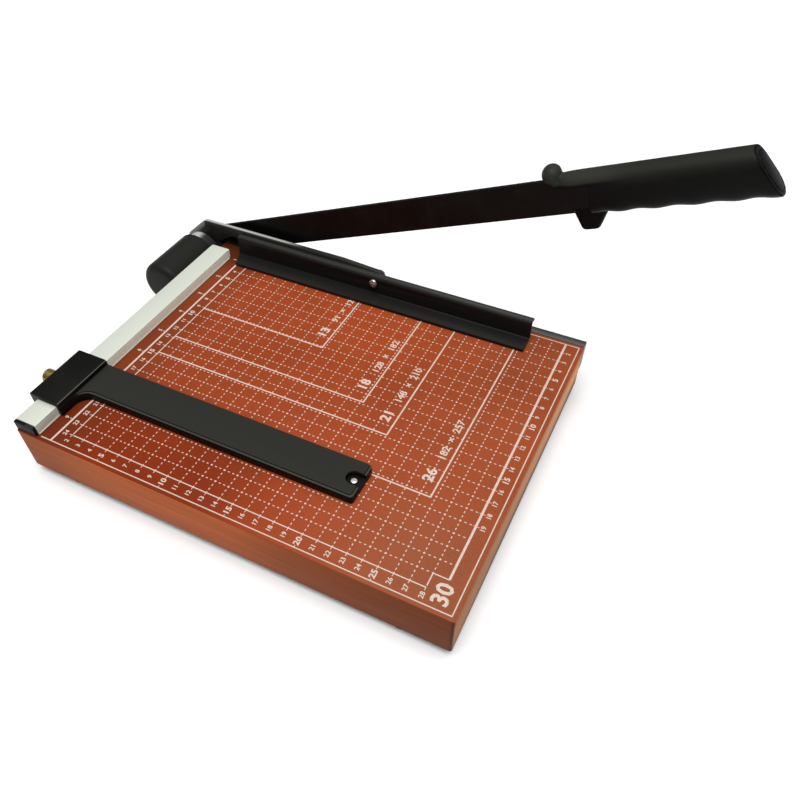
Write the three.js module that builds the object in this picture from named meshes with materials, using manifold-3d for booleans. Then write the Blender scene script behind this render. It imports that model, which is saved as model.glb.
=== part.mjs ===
// Paper cutter with a lever blade, a press bar on a lever of its own and a sliding paper stop.
// Millimetres. +Z is up, +Y points to the cutting edge at the back, and +X to the handle.
// Pieces are placed about the middle of the base board's underside, with the blade raised. The
// whole part then stands on the origin, which is the middle of its footprint on the table.

import * as THREE from "three";
import { mergeVertices } from "three/addons/utils/BufferGeometryUtils.js";
import Module from "manifold-3d";

const wasm = await Module();
wasm.setup();

// Clearances
const fit_gap = 0.3; // between pieces that are screwed or pressed together
const slide_gap = 0.4; // between the paper stop and its rail
const cut_overrun = 2; // how far a cut runs past the face that it opens

// Base board
const board_width = 321.3;
const board_depth = 246;
const board_thickness = 36;
const board_edge = 0.6;
const board_corner = 1.5;

// Cutting strip along the back face
const strip_thickness = 6.4;
const strip_depth = 22;
const strip_edge = 0.25;
const strip_screw_count = 4;
const strip_screw_margin = 22;

// Rail for the paper stop
const rail_inset = 0.3;
const rail_width = 17.2;
const rail_height = 8;
const rail_wall = 1.6;
const rail_lip = 0.7;
const rail_lip_height = 0.6;
const rail_front_margin = 1;
const rail_back_margin = 16.7;
const rail_front_cap_length = 2.4;
const rail_back_cap_length = 1.6;
const rail_plug_length = 5;
const rail_screw_count = 3;
const rail_screw_margin = 42;
const rail_edge = 0.4;

// Rubber feet
const foot_radius = 7.5;
const foot_height = 6;
const foot_edge = 1.2;
const foot_front_side_inset = 35;
const foot_front_inset = 9.5;
const foot_back_side_inset = 8.5;
const foot_back_inset = 15;
const foot_recess_depth = 3;

// Wood screws with countersunk heads, for the strip, the rail and the bracket
const wood_screw = { radius: 1.9, head_radius: 3.8, head_land: 0.4, head_cone: 2.2 };
const wood_screw_length = 20;
const rail_screw_bite = 1.4; // how far the tip stands up inside the rail

// Pan-head screws of the feet
const foot_screw = { radius: 1.7, head_radius: 3.2, head_height: 2 };
const foot_screw_length = 14;

// Hinge
const pivot_out = 20; // from the board's left face to the pivot's axis
const pivot_drop = 9.3; // from the board's top down to the pivot's axis
const bolt_radius = 4;
const hex_radius = 7.5;
const hex_edge = 0.8;
const bolt_head_height = 5.3;
const nut_height = 6.5;
const bolt_tip_length = 3.3;
const washer_radius = 8.5;
const washer_thickness = 1.6;
const boss_radius = 16.5;
const boss_length = 9.9;
const spigot_length = 6;
const flange_thickness = 3;
const flange_length = 58;
const flange_height = 22;
const flange_edge = 0.5;
const bracket_screw_count = 3;
const bracket_screw_margin = 9;
const cover_radius = 19.5;
const cover_wall = 2;
const cover_round = 6;
const cover_length = 52.4;
const spring_wire_radius = 0.9;
const spring_radius = 6.6;
const spring_length = 25;
const spring_turns = 5.5;

// Blade arm, measured from the pivot along the arm and across it
const blade_raised_degrees = 20.9;
const blade_thickness = 3;
const blade_below = 10.2;
const blade_above = 13.8;
const blade_length = 331.4;
const blade_root_radius = 15;
const blade_bevel_height = 6;
const blade_edge_land = 0.5;
const blade_bevel_start = 32;
const tang_length = 70;
const tang_half_height = 7.5;

// Moulded grip on the blade arm
const grip_overlap = 6; // of the grip over the blade's full width
const grip_length = 111.4; // along its top line
const grip_top = 16.8;
const grip_front_bottom = 9.9;
const grip_back_bottom = 12.5;
const grip_half_width = 10;
const grip_inner_offset = 1.5; // its middle lies this far outside the blade's inner face
const grip_squareness = 2.9; // exponent of its rounded section
const grip_end_slant = 0.49; // lean of its end face, along for each unit across
const finger_wave_length = 18;
const finger_wave_height = 0.55;
const grip_nose_length = 14;
const board_end_clearance = 3; // along the arm, past the board's right face when closed
const knob_length_radius = 6.4;
const knob_height_radius = 6.2;
const knob_width_radius = 7.5;
const knob_reach = 4.6; // the knob's middle ahead of the grip
const knob_rise = 0.8; // the knob's middle above the grip's top
const guard_reach = 23.6; // lowest point below the arm's axis
const guard_front = 5; // from the grip's front to the guard's front edge
const guard_length = 23;
const guard_slope = 3.5; // from its front edge back to its tip
const guard_tip_length = 11;
const guard_width = 9.8;
const guard_edge = 1.8;
const end_cap_depth = 2.4;
const end_cap_border = 2.6;
const grip_screw = { radius: 2, head_radius: 3.8, head_height: 2.4 };
const grip_screw_depth = 3.2; // from the grip's outer face down to the screw's head
const grip_screw_first = 30; // from the grip's front
const grip_screw_pitch = 36;

// Clamp lever between the pivot and the press bar
const lever_thickness = 4;
const lever_hub_radius = 19;
const lever_boss_radius = 11; // the boss fills the space between the hub and the blade
const lever_boss_length = 6.5;
const lever_leave_degrees = 130; // where its top edge leaves the hub
const lever_return_degrees = 35; // where its lower edge comes back to the hub
const lever_shoulder_out = 4.2; // from the pivot to where its top edge turns level
const lever_shoulder_round = 9;
const lever_height = 8.2;
const lever_over_board = 11;
const lever_bend = 11; // from the board's left face to where the lower edge drops
const lever_bend_round = 8;
const lever_taper = 32;
const lever_taper_round = 30;
const lever_end_radius = 5.5;

// Press bar, a folded sheet
const bar_length = 254;
const bar_from_rail = 10.8;
const bar_sheet = 1.6;
const bar_fold = 1.4; // radius of the folds along the middle of the sheet
const bar_to_blade = 16;
const bar_flange_width = 16;
const bar_web_height = 15;
const bar_head_height = 2;
const bar_head_lean = 2;
const bar_curl_width = 2.6;
const bar_curl_drop = 2;
const bar_curl_round = 1.2;
const bar_screw_from_rail = 134.8;
const bar_screw_height = 11.5;
const bar_screw = { radius: 2, head_radius: 3.5, head_height: 2.2 };
const bar_nut_radius = 4.1;
const bar_nut_height = 3.2;
const spacer_radius = 3.2;

// Paper stop
const stop_from_front = 23.5; // the head's front edge behind the board's front face
const stop_head_length = 49;
const stop_outer_wall = 5.6;
const stop_inner_wall = 2.7;
const stop_roof = 3.6;
const stop_edge = 0.9;
const stop_arm_length = 217.3;
const stop_arm_width = 27.9;
const stop_arm_top = 8;
const stop_arm_fillet = 10;
const stop_arm_corner = 2;
const stop_ledge_width = 1.2;
const stop_ledge_drop = 1;
const stop_wall = 2.2;
const stop_rib_count = 5;
const stop_recess_radius = 5.2;
const stop_recess_depth = 4;
const stop_recess_from_end = 6;
const stop_end_block = 14;
const end_screw = { radius: 1.2, head_radius: 2.3, head_height: 1.3 };
const insert_radius = 2.9;
const insert_wall = 0.8;
const thumb_head_radius = 5.6;
const thumb_head_length = 6.8;
const thumb_tooth_depth = 0.45;
const thumb_tooth_count = 26;
const thumb_edge = 0.7;
const thumb_neck_length = 2.4;
const thumb_collar_radius = 3.6;
const thumb_collar_length = 1.8;
const thumb_height = 4; // above the board's top
const thumb_from_head_front = 23.5;

// Facets
const arc_steps = 3;
const edge_steps = 2;
const screw_steps = 16;
const round_steps = 20;
const fine_round_steps = 36;
const corner_steps = 5;
const grip_steps = 23;
const coil_steps = 8; // in each turn of the spring
const wire_sides = 5;
const coil_check_steps = 24;
const least_step = 0.01; // points of a fold that lie closer than this are one

// Shapes given as shares
const pan_crown_share = 0.6; // flat middle of a pan head
const grip_nose_share = 0.42; // fullness of the grip at its very front
const sharpest_miter_share = 0.5;

// Places that follow from the sizes above
const board_left = -board_width / 2;
const board_right = board_width / 2;
const board_front = -board_depth / 2;
const board_back = board_depth / 2;
const board_top = board_thickness;
const strip_back = board_back + fit_gap + strip_thickness;
const blade_plane = strip_back + fit_gap;
const rail_left = board_left + rail_inset;
const rail_right = rail_left + rail_width;
const rail_bottom = board_top + fit_gap;
const rail_top = board_top + rail_height;
const rail_front = board_front + rail_front_margin;
const rail_back = board_back - rail_back_margin;
const rail_middle = rail_left + rail_width / 2;
const pivot_x = board_left - pivot_out;
const pivot_z = board_top - pivot_drop;
const pivot = { x: pivot_x, z: pivot_z };
const grip_start = blade_length - grip_overlap;
const lever_back = blade_plane - fit_gap - lever_boss_length;
const lever_front = lever_back - lever_thickness;
const boss_back = lever_front - fit_gap;
const boss_front = boss_back - boss_length;
const spigot_front = boss_front - spigot_length;
const bar_screw_x = rail_right + bar_screw_from_rail;
const bar_screw_z = board_top + bar_screw_height;
const bar_screw_place = { x: bar_screw_x, z: bar_screw_z };
const bar_web_back = blade_plane - bar_to_blade;
const bar_web_front = bar_web_back - bar_sheet;
const stop_front = board_front + stop_from_front;
const stop_back = stop_front + stop_head_length;
const thumb_y = stop_front + thumb_from_head_front;
const thumb_z = board_top + thumb_height;

// Turns a shape's plane and its depth to face along an axis. Along y the depth runs backwards.
const axis_frames = {
  x: new THREE.Matrix4().makeBasis(
    new THREE.Vector3(0, 1, 0), new THREE.Vector3(0, 0, 1), new THREE.Vector3(1, 0, 0)),
  y: new THREE.Matrix4().makeBasis(
    new THREE.Vector3(1, 0, 0), new THREE.Vector3(0, 0, 1), new THREE.Vector3(0, -1, 0)),
  z: new THREE.Matrix4(),
};

// A closed solid from a geometry
function solid(geometry) {
  const bare = geometry.clone();
  bare.deleteAttribute("normal");
  bare.deleteAttribute("uv");
  const merged = mergeVertices(bare);
  return new wasm.Manifold(new wasm.Mesh({
    numProp: 3,
    vertProperties: new Float32Array(merged.attributes.position.array),
    triVerts: new Uint32Array(merged.index.array),
  }));
}

// A geometry from a solid
function surface(body) {
  const mesh = body.getMesh();
  const geometry = new THREE.BufferGeometry();
  geometry.setAttribute("position", new THREE.BufferAttribute(mesh.vertProperties, 3));
  geometry.setIndex(new THREE.BufferAttribute(mesh.triVerts, 1));
  geometry.computeVertexNormals();
  return geometry;
}

function joined(...bodies) {
  return bodies.reduce((whole, body) => whole.add(body));
}

function cut(body, ...tools) {
  return tools.reduce((rest, tool) => rest.subtract(tool), body);
}

// An outline from corners [u, v, radius], rounded where a radius is given
function rounded(corners, path = new THREE.Shape(), closed = true) {
  const points = corners.map(([u, v]) => new THREE.Vector2(u, v));
  corners.forEach(([u, v, radius = 0], i) => {
    const here = points[i];
    const free_end = !closed && (i === 0 || i === corners.length - 1);
    if (radius === 0 || free_end) {
      if (i === 0) path.moveTo(u, v);
      else path.lineTo(u, v);
      return;
    }
    const back = points.at(i - 1).clone().sub(here).normalize();
    const ahead = points[(i + 1) % points.length].clone().sub(here).normalize();
    const half = Math.acos(THREE.MathUtils.clamp(back.dot(ahead), -1, 1)) / 2;
    const start = here.clone().addScaledVector(back, radius / Math.tan(half));
    const finish = here.clone().addScaledVector(ahead, radius / Math.tan(half));
    const middle = back.clone().add(ahead).normalize();
    const centre = here.clone().addScaledVector(middle, radius / Math.sin(half));
    const clockwise = back.cross(ahead) > 0;
    if (i === 0) path.moveTo(start.x, start.y);
    else path.lineTo(start.x, start.y);
    path.absarc(
      centre.x, centre.y, radius,
      start.clone().sub(centre).angle(), finish.clone().sub(centre).angle(), clockwise);
  });
  if (closed) path.closePath();
  return path;
}

function rectangle(left, bottom, right, top, radius = 0) {
  return rounded([
    [left, bottom, radius], [right, bottom, radius], [right, top, radius], [left, top, radius],
  ]);
}

// A shape pushed along an axis, with its two rims eased
function prism(axis, shape, start, end, edge = 0) {
  const geometry = new THREE.ExtrudeGeometry(shape, {
    depth: end - start - 2 * edge,
    curveSegments: arc_steps,
    bevelEnabled: edge > 0,
    bevelThickness: edge,
    bevelSize: edge,
    bevelOffset: -edge,
    bevelSegments: edge_steps,
  });
  geometry.translate(0, 0, edge);
  geometry.applyMatrix4(axis_frames[axis]);
  const along = axis === "y" ? end : start;
  geometry.translate(
    axis === "x" ? along : 0, axis === "y" ? along : 0, axis === "z" ? along : 0);
  return solid(geometry);
}

// A profile of [place along the axis, radius] turned about an axis through a place
function turned(axis, profile, place, steps = round_steps) {
  const points = profile.map(([along, radius]) => new THREE.Vector2(radius, along));
  const geometry = new THREE.LatheGeometry(points, steps);
  if (axis === "x") geometry.rotateZ(-Math.PI / 2);
  if (axis === "z") geometry.rotateX(Math.PI / 2);
  geometry.translate(place.x ?? 0, place.y ?? 0, place.z ?? 0);
  return solid(geometry);
}

function rod(axis, radius, start, end, place, steps = round_steps) {
  return turned(axis, [[start, 0], [start, radius], [end, radius], [end, 0]], place, steps);
}

function tube(axis, outer, inner, start, end, place, steps = round_steps) {
  const profile = [[start, inner], [start, outer], [end, outer], [end, inner], [start, inner]];
  return turned(axis, profile, place, steps);
}

function hexagon(axis, radius, start, end, place) {
  const profile = [
    [start, 0], [start, radius - hex_edge], [start + hex_edge, radius],
    [end - hex_edge, radius], [end, radius - hex_edge], [end, 0],
  ];
  return turned(axis, profile, place, 6);
}

// A profile written from the head to the tip, put in rising order
function rising(profile) {
  return profile[0][0] < profile.at(-1)[0] ? profile : profile.toReversed();
}

// A countersunk screw. A gap widens it into the hole that it sits in.
function countersunk(axis, size, face, tip, place, gap = 0) {
  const way = Math.sign(tip - face);
  const mouth = gap > 0 ? face - way * cut_overrun : face;
  const end = tip + way * gap;
  return turned(axis, rising([
    [mouth, 0], [mouth, size.head_radius + gap],
    [face + way * size.head_land, size.head_radius + gap],
    [face + way * (size.head_land + size.head_cone), size.radius + gap],
    [end, size.radius + gap], [end, 0],
  ]), place, screw_steps);
}

// A pan-head screw whose head sits on a face
function pan_head(axis, size, face, tip, place) {
  const way = Math.sign(tip - face);
  const crown = face - way * size.head_height;
  const shoulder = face - way * size.head_height / 2;
  return turned(axis, rising([
    [crown, 0], [crown, size.head_radius * pan_crown_share], [shoulder, size.head_radius],
    [face, size.head_radius], [face, size.radius], [tip, size.radius], [tip, 0],
  ]), place, screw_steps);
}

// Equal steps from one place to another, both included
function spaced(count, first, last) {
  return Array.from({ length: count }, (_, i) => first + (last - first) * i / (count - 1));
}

// A band of sheet along a middle line of corners [u, v, radius]
function sheet_outline(corners, thickness) {
  const drawn = rounded(corners, new THREE.Path(), false).getPoints(arc_steps);
  const line = drawn.filter((point, i) => i === 0 || point.distanceTo(drawn[i - 1]) > least_step);
  const side = (way) => line.map((point, i) => {
    const before = line[Math.max(i - 1, 0)];
    const after = line[Math.min(i + 1, line.length - 1)];
    const into = point.clone().sub(before).normalize();
    const out = after.clone().sub(point).normalize();
    const along = into.clone().add(out).normalize();
    const widen = 1 / Math.max(along.dot(i === 0 ? out : into), sharpest_miter_share);
    return new THREE.Vector2(-along.y, along.x).multiplyScalar(way * widen * thickness / 2).add(point);
  });
  return new THREE.Shape([...side(1), ...side(-1).reverse()]);
}

// Skin over a row of closed loops, with a flat end on each side
function loft(loops) {
  const count = loops[0].length;
  const middle = (loop) => loop
    .reduce((sum, point) => sum.add(point), new THREE.Vector3())
    .divideScalar(count);
  const points = [...loops.flat(), middle(loops[0]), middle(loops.at(-1))];
  const index = [];
  for (let j = 0; j < count; j += 1) {
    const next = (j + 1) % count;
    for (let i = 0; i + 1 < loops.length; i += 1) {
      const low = i * count;
      const high = low + count;
      index.push(low + j, low + next, high + next, low + j, high + next, high + j);
    }
    const last = (loops.length - 1) * count;
    index.push(points.length - 2, next, j, points.length - 1, last + j, last + next);
  }
  const geometry = new THREE.BufferGeometry().setFromPoints(points);
  geometry.setIndex(index);
  return solid(geometry);
}

// Base board
const foot_places = [
  [board_left + foot_front_side_inset, board_front + foot_front_inset],
  [board_right - foot_front_side_inset, board_front + foot_front_inset],
  [board_left + foot_back_side_inset, board_back - foot_back_inset],
  [board_right - foot_back_side_inset, board_back - foot_back_inset],
];
const strip_screw_places = spaced(
  strip_screw_count, board_left + strip_screw_margin, board_right - strip_screw_margin)
  .map((x) => ({ x, z: board_top - strip_depth / 2 }));
const rail_screw_places = spaced(
  rail_screw_count, rail_front + rail_screw_margin, rail_back - rail_screw_margin)
  .map((y) => ({ x: rail_middle, y }));
const rail_screw_tip = rail_bottom + rail_wall + rail_screw_bite;
const flange_back = board_back - fit_gap;
const flange_front = flange_back - flange_length;
const flange_top = pivot_z + flange_height / 4;
const flange_bottom = flange_top - flange_height;
const flange_middle = (flange_top + flange_bottom) / 2;
const bracket_screw_places = spaced(
  bracket_screw_count, flange_front + bracket_screw_margin, boss_front - bracket_screw_margin)
  .map((y) => ({ y, z: flange_middle }));

function strip_screw(place, gap) {
  const face = strip_back - (gap > 0 ? 0 : fit_gap);
  return countersunk("y", wood_screw, face, strip_back - wood_screw_length, place, gap);
}

function rail_screw(place, gap) {
  return countersunk("z", wood_screw, gap > 0 ? 0 : fit_gap, rail_screw_tip, place, gap);
}

function foot_screw_solid([x, y]) {
  const seat = -foot_height + foot_recess_depth - fit_gap;
  return pan_head("z", foot_screw, seat, seat + foot_screw_length, { x, y });
}

function foot_screw_hole([x, y]) {
  return rod(
    "z", foot_screw.radius + fit_gap, -foot_height - cut_overrun, foot_screw_length, { x, y });
}

function bracket_screw(place, gap) {
  const face = board_left + (gap > 0 ? 0 : fit_gap);
  return countersunk("x", wood_screw, face, board_left + wood_screw_length, place, gap);
}

function base_board() {
  const outline = rectangle(board_left, board_front, board_right, board_back, board_corner);
  const pocket = prism(
    "x",
    rectangle(
      flange_front - fit_gap, flange_bottom - fit_gap,
      board_back + cut_overrun, flange_top + fit_gap),
    board_left - cut_overrun, board_left + flange_thickness + fit_gap);
  return cut(
    prism("z", outline, 0, board_top, board_edge),
    pocket,
    ...strip_screw_places.map((place) => strip_screw(place, fit_gap)),
    ...rail_screw_places.map((place) => rail_screw(place, fit_gap)),
    ...foot_places.map(foot_screw_hole),
    ...bracket_screw_places.map((place) => bracket_screw(place, fit_gap)));
}

// Steel counter-blade, flush with the board's top
function cutting_strip() {
  const section = rectangle(board_left, board_top - strip_depth, board_right, board_top);
  return cut(
    prism("y", section, board_back + fit_gap, strip_back, strip_edge),
    ...strip_screw_places.map((place) => strip_screw(place, fit_gap)));
}

// Box-section extrusion with a small lip at its inner foot
function rail() {
  const start = rail_front + rail_front_cap_length + fit_gap;
  const end = rail_back - rail_back_cap_length - fit_gap;
  const lip_right = rail_right + rail_lip;
  const lip_top = board_top + rail_lip_height;
  const section = rounded([
    [rail_left, rail_bottom], [lip_right, rail_bottom], [lip_right, lip_top],
    [rail_right, lip_top], [rail_right, rail_top, rail_edge], [rail_left, rail_top, rail_edge],
  ]);
  section.holes.push(rectangle(
    rail_left + rail_wall, rail_bottom + rail_wall, rail_right - rail_wall, rail_top - rail_wall));
  return cut(
    prism("y", section, start, end),
    ...rail_screw_places.map((place) => rail_screw(place, fit_gap)));
}

// End plug of the rail: a plate as large as the section, and a tongue inside it
function rail_cap(plate_start, plate_end, tongue_start, tongue_end) {
  const inset = rail_wall + fit_gap;
  const plate = rectangle(rail_left, rail_bottom, rail_right, rail_top, 2 * rail_edge);
  const tongue = rectangle(
    rail_left + inset, rail_bottom + inset, rail_right - inset, rail_top - inset);
  return joined(
    prism("y", plate, plate_start, plate_end, rail_edge),
    prism("y", tongue, tongue_start, tongue_end));
}

function rail_front_cap() {
  const inner = rail_front + rail_front_cap_length;
  return rail_cap(rail_front, inner, inner - rail_edge, inner + rail_plug_length);
}

function rail_back_cap() {
  const inner = rail_back - rail_back_cap_length;
  return rail_cap(inner, rail_back, inner - rail_plug_length, inner + rail_edge);
}

// Rubber foot with a recess for its screw
function foot([x, y]) {
  const hole = foot_screw.radius + fit_gap;
  const recess = foot_screw.head_radius + 2 * fit_gap;
  const floor = -foot_height;
  return turned("z", [
    [floor, recess], [floor, foot_radius - foot_edge], [floor + foot_edge, foot_radius],
    [-fit_gap, foot_radius], [-fit_gap, hole], [floor + foot_recess_depth, hole],
    [floor + foot_recess_depth, recess], [floor, recess],
  ], { x, y });
}

// Boss round the bolt, with a spigot for the cover and a flange let into the board
function hinge_bracket() {
  const neck_left = pivot_x + boss_radius / 2;
  const inner = board_left + flange_thickness;
  const flange = prism(
    "x", rectangle(flange_front, flange_bottom, flange_back, flange_top), board_left, inner);
  const neck = prism(
    "y", rectangle(neck_left, flange_bottom, inner, flange_top), boss_front, boss_back);
  return cut(
    joined(
      turned("y", [
        [spigot_front, 0], [spigot_front, cover_radius - cover_wall - fit_gap],
        [boss_front, cover_radius - cover_wall - fit_gap], [boss_front, boss_radius],
        [boss_back - flange_edge, boss_radius], [boss_back, boss_radius - flange_edge],
        [boss_back, 0],
      ], pivot, fine_round_steps),
      neck,
      flange),
    rod("y", bolt_radius + fit_gap, spigot_front - cut_overrun, boss_back + cut_overrun, pivot),
    ...bracket_screw_places.map((place) => bracket_screw(place, fit_gap)));
}

// What is strung on the bolt, from the back to the front
const head_washer_back = blade_plane + blade_thickness + fit_gap + washer_thickness;
const bolt_head_front = head_washer_back + fit_gap;
const spring_back_washer_front = spigot_front - fit_gap - washer_thickness;
const spring_back = spring_back_washer_front - fit_gap;
const spring_front = spring_back - spring_length;
const spring_front_washer_front = spring_front - fit_gap - washer_thickness;
const nut_back = spring_front_washer_front - fit_gap;
const nut_front = nut_back - nut_height;
const bolt_tip = nut_front - bolt_tip_length;
const cover_open = boss_front - fit_gap;
const cover_front = cover_open - cover_length;

function pivot_bolt() {
  return joined(
    hexagon("y", hex_radius, bolt_head_front, bolt_head_front + bolt_head_height, pivot),
    rod("y", bolt_radius, bolt_tip, bolt_head_front + hex_edge, pivot));
}

function washer(front) {
  return tube(
    "y", washer_radius, bolt_radius + fit_gap, front, front + washer_thickness, pivot);
}

function pivot_nut() {
  return cut(
    hexagon("y", hex_radius, nut_front, nut_back, pivot),
    rod("y", bolt_radius + fit_gap, nut_front - cut_overrun, nut_back + cut_overrun, pivot));
}

// Middle line of the coil spring round the bolt
class Coil extends THREE.Curve {
  getPoint(share, target = new THREE.Vector3()) {
    const turn = share * spring_turns * 2 * Math.PI;
    const run = spring_length - 2 * spring_wire_radius;
    return target.set(
      pivot_x + spring_radius * Math.cos(turn),
      spring_front + spring_wire_radius + run * share,
      pivot_z + spring_radius * Math.sin(turn));
  }
}

// The coil is one unbroken tube
function pivot_spring() {
  const wire = new THREE.Shape(Array.from({ length: wire_sides }, (_, i) => new THREE.Vector2(
    spring_wire_radius * Math.cos(i * 2 * Math.PI / wire_sides),
    spring_wire_radius * Math.sin(i * 2 * Math.PI / wire_sides))));
  return solid(new THREE.ExtrudeGeometry(wire, {
    steps: Math.round(spring_turns * coil_steps), extrudePath: new Coil(), bevelEnabled: false,
  }));
}

// Least distance between two points of the coil that lie half a turn or more apart
function least_coil_gap() {
  const points = new Coil().getPoints(Math.round(spring_turns * coil_check_steps));
  let least = Infinity;
  for (let i = 0; i < points.length; i += 1) {
    for (let j = i + coil_check_steps / 2; j < points.length; j += 1) {
      least = Math.min(least, points[i].distanceTo(points[j]));
    }
  }
  return least - 2 * spring_wire_radius;
}

// Plastic cup with a rounded front end, open at the back
function spring_cover() {
  const inner = cover_radius - cover_wall;
  const inner_round = cover_round - cover_wall;
  const corner = (radius, round, front) => spaced(corner_steps, 0, Math.PI / 2).map((turn) => [
    front + round - round * Math.cos(turn), radius - round + round * Math.sin(turn)]);
  return turned("y", [
    [cover_front, 0],
    ...corner(cover_radius, cover_round, cover_front),
    [cover_open, cover_radius],
    [cover_open, inner],
    ...corner(inner, inner_round, cover_front + cover_wall).reverse(),
    [cover_front + cover_wall, 0],
  ], pivot, fine_round_steps);
}

// Blade arm in its own frame: along x from the pivot, across z, its inner face at y = 0
function blade_arm() {
  const tang_end = blade_length + tang_length;
  const bar = rounded([
    [0, -blade_below], [blade_length, -blade_below], [blade_length, -tang_half_height],
    [tang_end, -tang_half_height], [tang_end, tang_half_height],
    [blade_length, tang_half_height], [blade_length, blade_above], [0, blade_above],
  ]);
  const bevel = rounded([
    [blade_edge_land, -blade_below - cut_overrun],
    [blade_thickness + cut_overrun, -blade_below - cut_overrun],
    [blade_thickness + cut_overrun, -blade_below + blade_bevel_height],
    [blade_thickness, -blade_below + blade_bevel_height],
    [blade_edge_land, -blade_below],
  ]);
  return cut(
    joined(
      rod("y", blade_root_radius, 0, blade_thickness, {}, fine_round_steps),
      prism("y", bar, 0, blade_thickness)),
    rod("y", bolt_radius + fit_gap, -cut_overrun, blade_thickness + cut_overrun, {}),
    prism("x", bevel, blade_bevel_start, blade_length + cut_overrun),
    ...grip_screw_places.map((place) => rod(
      "y", grip_screw.radius + fit_gap, -cut_overrun, blade_thickness + cut_overrun, place)));
}

// Places on the grip, in the blade arm's frame
const grip_middle = grip_inner_offset;
const grip_outer = grip_middle + grip_half_width;
const grip_screw_places = [grip_screw_first, grip_screw_first + grip_screw_pitch]
  .map((along) => ({ x: grip_start + along, z: 0 }));

function grip_bottom(along) {
  const share = along / grip_length;
  const wave = Math.cos(2 * Math.PI * along / finger_wave_length);
  return -THREE.MathUtils.lerp(grip_front_bottom, grip_back_bottom, share)
    - (along > guard_length ? finger_wave_height * wave : 0);
}

// One closed loop of the grip's skin at a place along its top line. A border draws it in.
function grip_loop(along, border = 0, lift = 0) {
  const nose = THREE.MathUtils.clamp(along / grip_nose_length, 0, 1);
  const fullness = grip_nose_share + (1 - grip_nose_share) * Math.sqrt(1 - (1 - nose) ** 2);
  const slant = grip_end_slant * THREE.MathUtils.smoothstep(along, guard_length, grip_length);
  const top = grip_top - border;
  const low = grip_bottom(along) + border;
  const bottom = THREE.MathUtils.lerp(grip_top - grip_front_bottom, low, fullness);
  const half_width = grip_half_width * fullness - border;
  const half_height = (top - bottom) / 2;
  const power = 2 / grip_squareness;
  const curve = (value) => Math.sign(value) * Math.abs(value) ** power;
  return Array.from({ length: round_steps }, (_, i) => {
    const turn = 2 * Math.PI * i / round_steps;
    const z = (top + bottom) / 2 + half_height * curve(Math.sin(turn));
    const y = grip_middle + half_width * curve(Math.cos(turn));
    return new THREE.Vector3(grip_start + along + lift + slant * (grip_top - z), y, z);
  });
}

// Moulded grip: a lofted body, a thumb knob and a finger guard, notched beside the board
function handle() {
  const nose = spaced(corner_steps, 0, grip_nose_length).slice(0, -1);
  const body = spaced(grip_steps + 1, grip_nose_length, grip_length);
  const knob = new THREE.SphereGeometry(1, round_steps, round_steps / 2);
  knob.scale(knob_length_radius, knob_width_radius, knob_height_radius);
  knob.translate(grip_start - knob_reach, grip_middle, grip_top + knob_rise);
  const guard_start = grip_start + guard_front;
  const tip_start = guard_start + guard_slope;
  const guard = rounded([
    [guard_start, 0], [guard_start + guard_length, 0],
    [guard_start + guard_length, -grip_front_bottom],
    [tip_start + guard_tip_length, -guard_reach, guard_edge * 2],
    [tip_start, -guard_reach, guard_edge * 2],
    [guard_start, -grip_front_bottom],
  ]);
  const notch_end = board_right - pivot_x + board_end_clearance;
  const notch = rectangle(0, -guard_reach - cut_overrun, notch_end, pivot_drop + fit_gap * 2);
  const tang_end = blade_length + tang_length + fit_gap;
  const slot = rounded([
    [0, -blade_below - fit_gap], [blade_length + fit_gap, -blade_below - fit_gap],
    [blade_length + fit_gap, -tang_half_height - fit_gap],
    [tang_end, -tang_half_height - fit_gap], [tang_end, tang_half_height + fit_gap],
    [blade_length + fit_gap, tang_half_height + fit_gap],
    [blade_length + fit_gap, blade_above + fit_gap], [0, blade_above + fit_gap],
  ]);
  const recess = [-end_cap_depth, cut_overrun].map(
    (lift) => grip_loop(grip_length, end_cap_border, lift));
  return cut(
    joined(
      loft([...nose, ...body].map((along) => grip_loop(along))),
      solid(knob),
      prism("y", guard, fit_gap, fit_gap + guard_width, guard_edge)),
    prism("y", notch, -grip_half_width - cut_overrun, fit_gap),
    prism("y", slot, -fit_gap, blade_thickness + fit_gap),
    loft(recess),
    ...grip_screw_places.flatMap((place) => [
      rod("y", grip_screw.radius + fit_gap, 0, grip_outer + cut_overrun, place),
      rod("y", grip_screw.head_radius + fit_gap, grip_outer - grip_screw_depth
        - grip_screw.head_height, grip_outer + cut_overrun, place),
    ]));
}

function handle_end_cap() {
  const border = end_cap_border + fit_gap;
  return loft([fit_gap - end_cap_depth, 0].map((lift) => grip_loop(grip_length, border, lift)));
}

function handle_screw(place) {
  const seat = grip_outer - grip_screw_depth - grip_screw.head_height + fit_gap;
  return pan_head("y", grip_screw, seat, fit_gap, place);
}

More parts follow.
